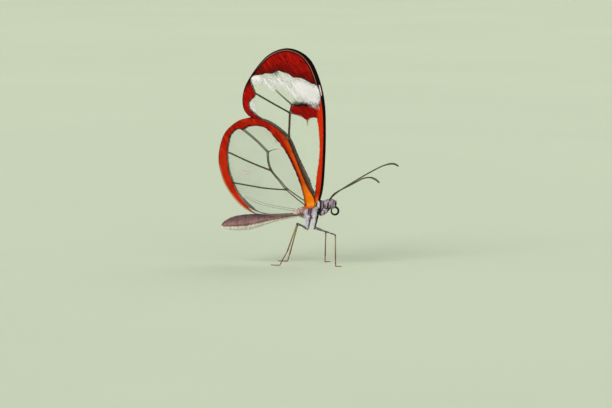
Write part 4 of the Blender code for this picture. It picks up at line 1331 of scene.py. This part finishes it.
def legMaterial():
    material, tree, shader = newMaterial("leg")
    spot, segment, share = spotOf(tree), value(tree, "segment"), value(tree, "share")
    paint = {name: rgb(*colour) for name, colour in legColours.items()}
    streak = noise(tree, stretch(tree, spot, size=(1.25, 0.25, 0.5)), 2.0, 3.0)
    # painted highlight: pale streaks over the dark femur
    femur = tint(tree, fade(tree, streak, 0.44, 0.66), paint["femur"], paint["femurHighlight"])
    shin = tint(tree, fade(tree, share, 0.1, 0.9), paint["tibia"], paint["tibiaEnd"])
    shin = tint(tree, fade(tree, share, 0.10, 0.02), shin, paint["knee"])
    foot = tint(tree, fade(tree, streak, 0.4, 0.6), paint["foot"], paint["footPale"])
    colour = tint(tree, fade(tree, segment, 1.2, 1.8), femur, shin)
    colour = tint(tree, fade(tree, segment, 2.2, 2.8), colour, foot)
    colour = tint(tree, fade(tree, segment, 3.4, 3.6), colour, paint["claw"])
    scales = useGroup(tree, scaleRows, {"Place": spot, "Size": 0.07, "Depth": 0.6})["Height"]
    fill(tree, shader, {"Base Color": shade(tree, colour, mottled(tree, spot, 2.2, 0.7, 1.2)),
                        "Normal": bumpFrom(tree, scales, 0.000015, 0.7), "Roughness": 0.5})
    return material


# Hairs on the wings: the brushed white band, dark hairs beside it, the roots and the fringe
# hue: 0 dark brown, 0.25 orange, 0.5 fringe, 0.75 pink, 1 white

wingHairs = {
    "band": {"count": 2300, "length": 0.75, "width": 0.016, "rise": 0.03, "turn": -51.0, "wander": 7,
             "seed": 21, "hue": 1.0, "low": (-10.3, 27.6), "high": (3.3, 34.6), "steeper": 22},
    "dark": {"count": 150, "length": 0.55, "width": 0.015, "rise": 0.03, "turn": 129.0, "wander": 7,
             "seed": 23, "hue": 0.0, "low": (-2.8, 28.4), "high": (2.9, 29.6)},
    "tuft": {"count": 14, "length": 0.95, "width": 0.022, "rise": 0.03, "turn": -51.0, "wander": 7,
             "seed": 24, "hue": 0.0, "low": (-6.9, 34.2), "high": (-5.2, 35.2)},
    "root": {"count": 240, "length": 0.50, "width": 0.020, "rise": 0.05, "turn": 160.0, "wander": 16,
             "seed": 25, "hue": 0.25, "hues": [0.0, 0.25, 0.4, 0.75, 1.0, 1.0],
             "low": (-1.9, 9.2), "high": (0.5, 10.9),
             "line": [(-1.7, 9.5), (0.2, 10.2)], "reach": (0.15, 0.5)},
    "skirt": {"count": 150, "length": 0.40, "width": 0.026, "rise": 0.05, "turn": 238.0, "wander": 16,
              "seed": 26, "hue": 0.25, "low": (-0.2, 10.2), "high": (1.9, 11.2),
              "line": [(0.0, 10.5), (1.6, 10.8)], "reach": (0.1, 0.35)},
    # it ends a few points of the rim before the root
    "fringe": {"count": 1100, "length": 0.16, "width": 0.015, "rise": 0.0, "seed": 29, "hue": 0.5,
               "inset": 0.20, "short": 8},
}
hairColours = [(0.0, (38, 14, 14)), (0.25, (236, 122, 40)), (0.5, (38, 14, 14)), (0.75, (234, 170, 172)),
               (1.0, (252, 248, 250))]
lowFringeColour = (204, 160, 122)


def inPlan(spots, out, sign):
    return np.stack([spots[:, 0], sign * out, spots[:, 1]], 1)


def hairsAt(spots, turns, hair, sign, face, rng, kind):
    half = wingPlace["membrane"] + 0.01
    roots = inPlan(spots, wingOut(spots, kind) + face * half, sign)
    count = len(spots)
    hue = rng.choice(hair["hues"], count) if "hues" in hair else np.full(count, hair["hue"])
    normals = np.tile([0.0, sign * face, 0.0], (count, 1))
    lies = np.stack([np.cos(turns), np.zeros(count), np.sin(turns)], 1)
    # the inner face in one half of the map, the outer one in the other
    unwrap = np.stack([(spots[:, 0] + 16) / 20 * 0.5 + (0.5 if face > 0 else 0.0), (spots[:, 1] - 8) / 32], 1)
    return tuftForm(roots, normals, lies, hair["length"] * rng.uniform(0.6, 1.2, count),
                    hair["width"] * rng.uniform(0.7, 1.2, count), hair["rise"] * rng.uniform(0.5, 1.5, count),
                    unwrap, tone=rng.uniform(0, 1, count), hue=hue)


# how likely a hair of each sort is to grow at each spot
def hairChance(key, spots, wing):
    if key == "band":
        return paleAt(spots, wing)
    if key == "dark":
        near = 1 - soft(np.abs(spots[:, 1] - 28.9), 0.1, 0.5)
        return near * soft(spots[:, 0], -2.6, -2.0) * (1 - soft(spots[:, 0], 2.2, 2.8))
    if key == "tuft":
        return 1 - soft(np.linalg.norm((spots - [-6.0, 34.7]) * [0.8, 1.0], axis=1), 0.3, 0.8)
    hair = wingHairs[key]
    return 1 - soft(distanceToLine(spots, np.array(hair["line"])), *hair["reach"])


def lyingHairs(kind, wing, sign, keys, faces):
    rim = wingRim(wing)
    forms = []
    for face in faces:
        for key in keys:
            hair = wingHairs[key]
            rng = np.random.default_rng(hair["seed"] + face)
            tries = hair["count"] * 10
            low, high = hair["low"], hair["high"]
            spots = np.stack([rng.uniform(low[0], high[0], tries), rng.uniform(low[1], high[1], tries)], 1)
            turns = np.radians(hair["turn"] + rng.normal(0, hair["wander"], tries))
            # the band is brushed more steeply near the leading edge
            turns = turns - np.radians(hair.get("steeper", 0)) * soft(spots[:, 0], -1.5, 2.0)
            tips = spots + np.stack([np.cos(turns), np.sin(turns)], 1) * hair["length"] * 1.2
            keep = (rng.random(tries) < hairChance(key, spots, wing)) & (depthIn(spots, rim) > 0.12)
            keep &= (depthIn(tips, rim) > 0.12) | (key == "skirt")
            chosen = np.flatnonzero(keep)[:hair["count"]]
            forms.append(hairsAt(spots[chosen], turns[chosen], hair, sign, face, rng, kind))
    return forms


def fringeHairs(kind, wing, sign):
    hair = wingHairs["fringe"]
    rng = np.random.default_rng(hair["seed"])
    rim = wingRim(wing)
    first = (wing["leading"] - 1) * wingPlace["rimSteps"]
    index = rng.integers(first, len(rim) - hair["short"], hair["count"])
    ahead = unit(np.roll(rim, -1, 0) - np.roll(rim, 1, 0))
    share = rng.random(hair["count"])[:, None]
    spots = rim[index] * (1 - share) + rim[(index + 1) % len(rim)] * share
    outward = np.stack([-ahead[:, 1], ahead[:, 0]], 1)
    if depthIn(rim[:1] + outward[:1] * 0.1, rim)[0] > 0:
        outward = -outward
    outward = outward[index]
    spots = spots - outward * hair["inset"]
    turns = np.arctan2(outward[:, 1], outward[:, 0]) + rng.normal(0, 0.22, hair["count"])
    return [hairsAt(spots, turns, hair, sign, 0.0001, rng, kind)]


def hairMaterial():
    material, tree, shader = newMaterial("wingHair")
    tone = spread(tree, value(tree, "tone"), toLow=0.8, toHigh=1.08)
    hue = value(tree, "hue")
    colour = ramp(tree, hue, hairColours)
    x = addNode(tree, "SeparateXYZ", {0: spotOf(tree)}).outputs[0]
    # the fringe is pale along the hindwing's rear
    low = product(tree, fade(tree, x, -9.0, -13.5), fade(tree, hue, 0.4, 0.48), fade(tree, hue, 0.6, 0.52))
    colour = tint(tree, low, colour, rgb(*lowFringeColour))
    fill(tree, shader, {"Base Color": shade(tree, colour, tone), "Roughness": 0.55})
    return material


# Putting it all together

sides = (("Left", "left", 1), ("Right", "right", -1))
addCamera()
addLamps()
addFloor()
print("stage ready")

hair = hairMaterial()
for kind, wing in (("forewing", forewing), ("hindwing", hindwing)):
    skin = wingMaterial(kind)
    for side, low, sign in sides:
        settle(wingMesh(kind, wing, sign), skin, kind, kind + "_" + low)
        forms = fringeHairs(kind, wing, sign) + lyingHairs(kind, wing, sign, ["root", "skirt"], (1,))
        if kind == "forewing":
            forms += lyingHairs(kind, wing, sign, ["band", "dark", "tuft"], (-1, 1))
        settle(joinForms(kind + side + "Hairs", forms), hair, kind)
print("wings ready")

skin, coat = bodyMaterial("bodySkin", False), bodyMaterial("bodyCoat", True)
settle(bodySkin(), skin, "thorax", "head", "thorax", "abdomen")
for name in coats:
    settle(bodyCoat(name), coat, coats[name]["slot"])
print("body ready")

glossy, shaft, scaled = eyeMaterial(), antennaMaterial(), legMaterial()
for side, low, sign in sides:
    settle(joinForms("eye" + side, [eyeForm(sign)]), glossy, "eye", "eye_" + low)
    settle(joinForms("antenna" + side, antennaForms(low)), shaft, "antenna", "antenna_" + low)
    rng = np.random.default_rng(31 if sign > 0 else 32)
    for name, limb in limbs.items():
        core, tufts = scaledLimb(limb, smoothRun(limb["run"], 8) * [1, sign, 1], rng)
        if "markingsFrom" in limb:
            for form in (core, tufts):
                form["spots"] = form.get("spots", form["points"]) - [limb["markingsFrom"], 0, 0]
        # the thorax's node is replaced already
        nodes = [] if limb["slot"] == "thorax" else [name + "_" + low]
        settle(joinForms(name + side, [core]), skin, limb["slot"], *nodes)
        settle(joinForms(name + side + "Coat", [tufts]), coat, limb["slot"])
settle(joinForms("tongue", [tongueForm()]), tongueMaterial(), "proboscis", "proboscis")
print("head ready")

for kind in ("midleg", "hindleg"):
    for side, low in (("Right", "right"), ("Left", "left")):
        name, node = kind + side, kind + "_" + low
        joints = walkingLegs[name]
        rng = np.random.default_rng(len(name) + int(abs(joints[2][1]) * 10))
        core, tufts = hipPieces(kind, joints[0], joints[1], rng)
        settle(joinForms(name, walkingLeg(joints, rng)), scaled, "leg", node)
        settle(joinForms(name + "Hip", [core]), skin, "leg", node)
        settle(joinForms(name + "HipCoat", [tufts]), coat, "leg")
print("legs ready")
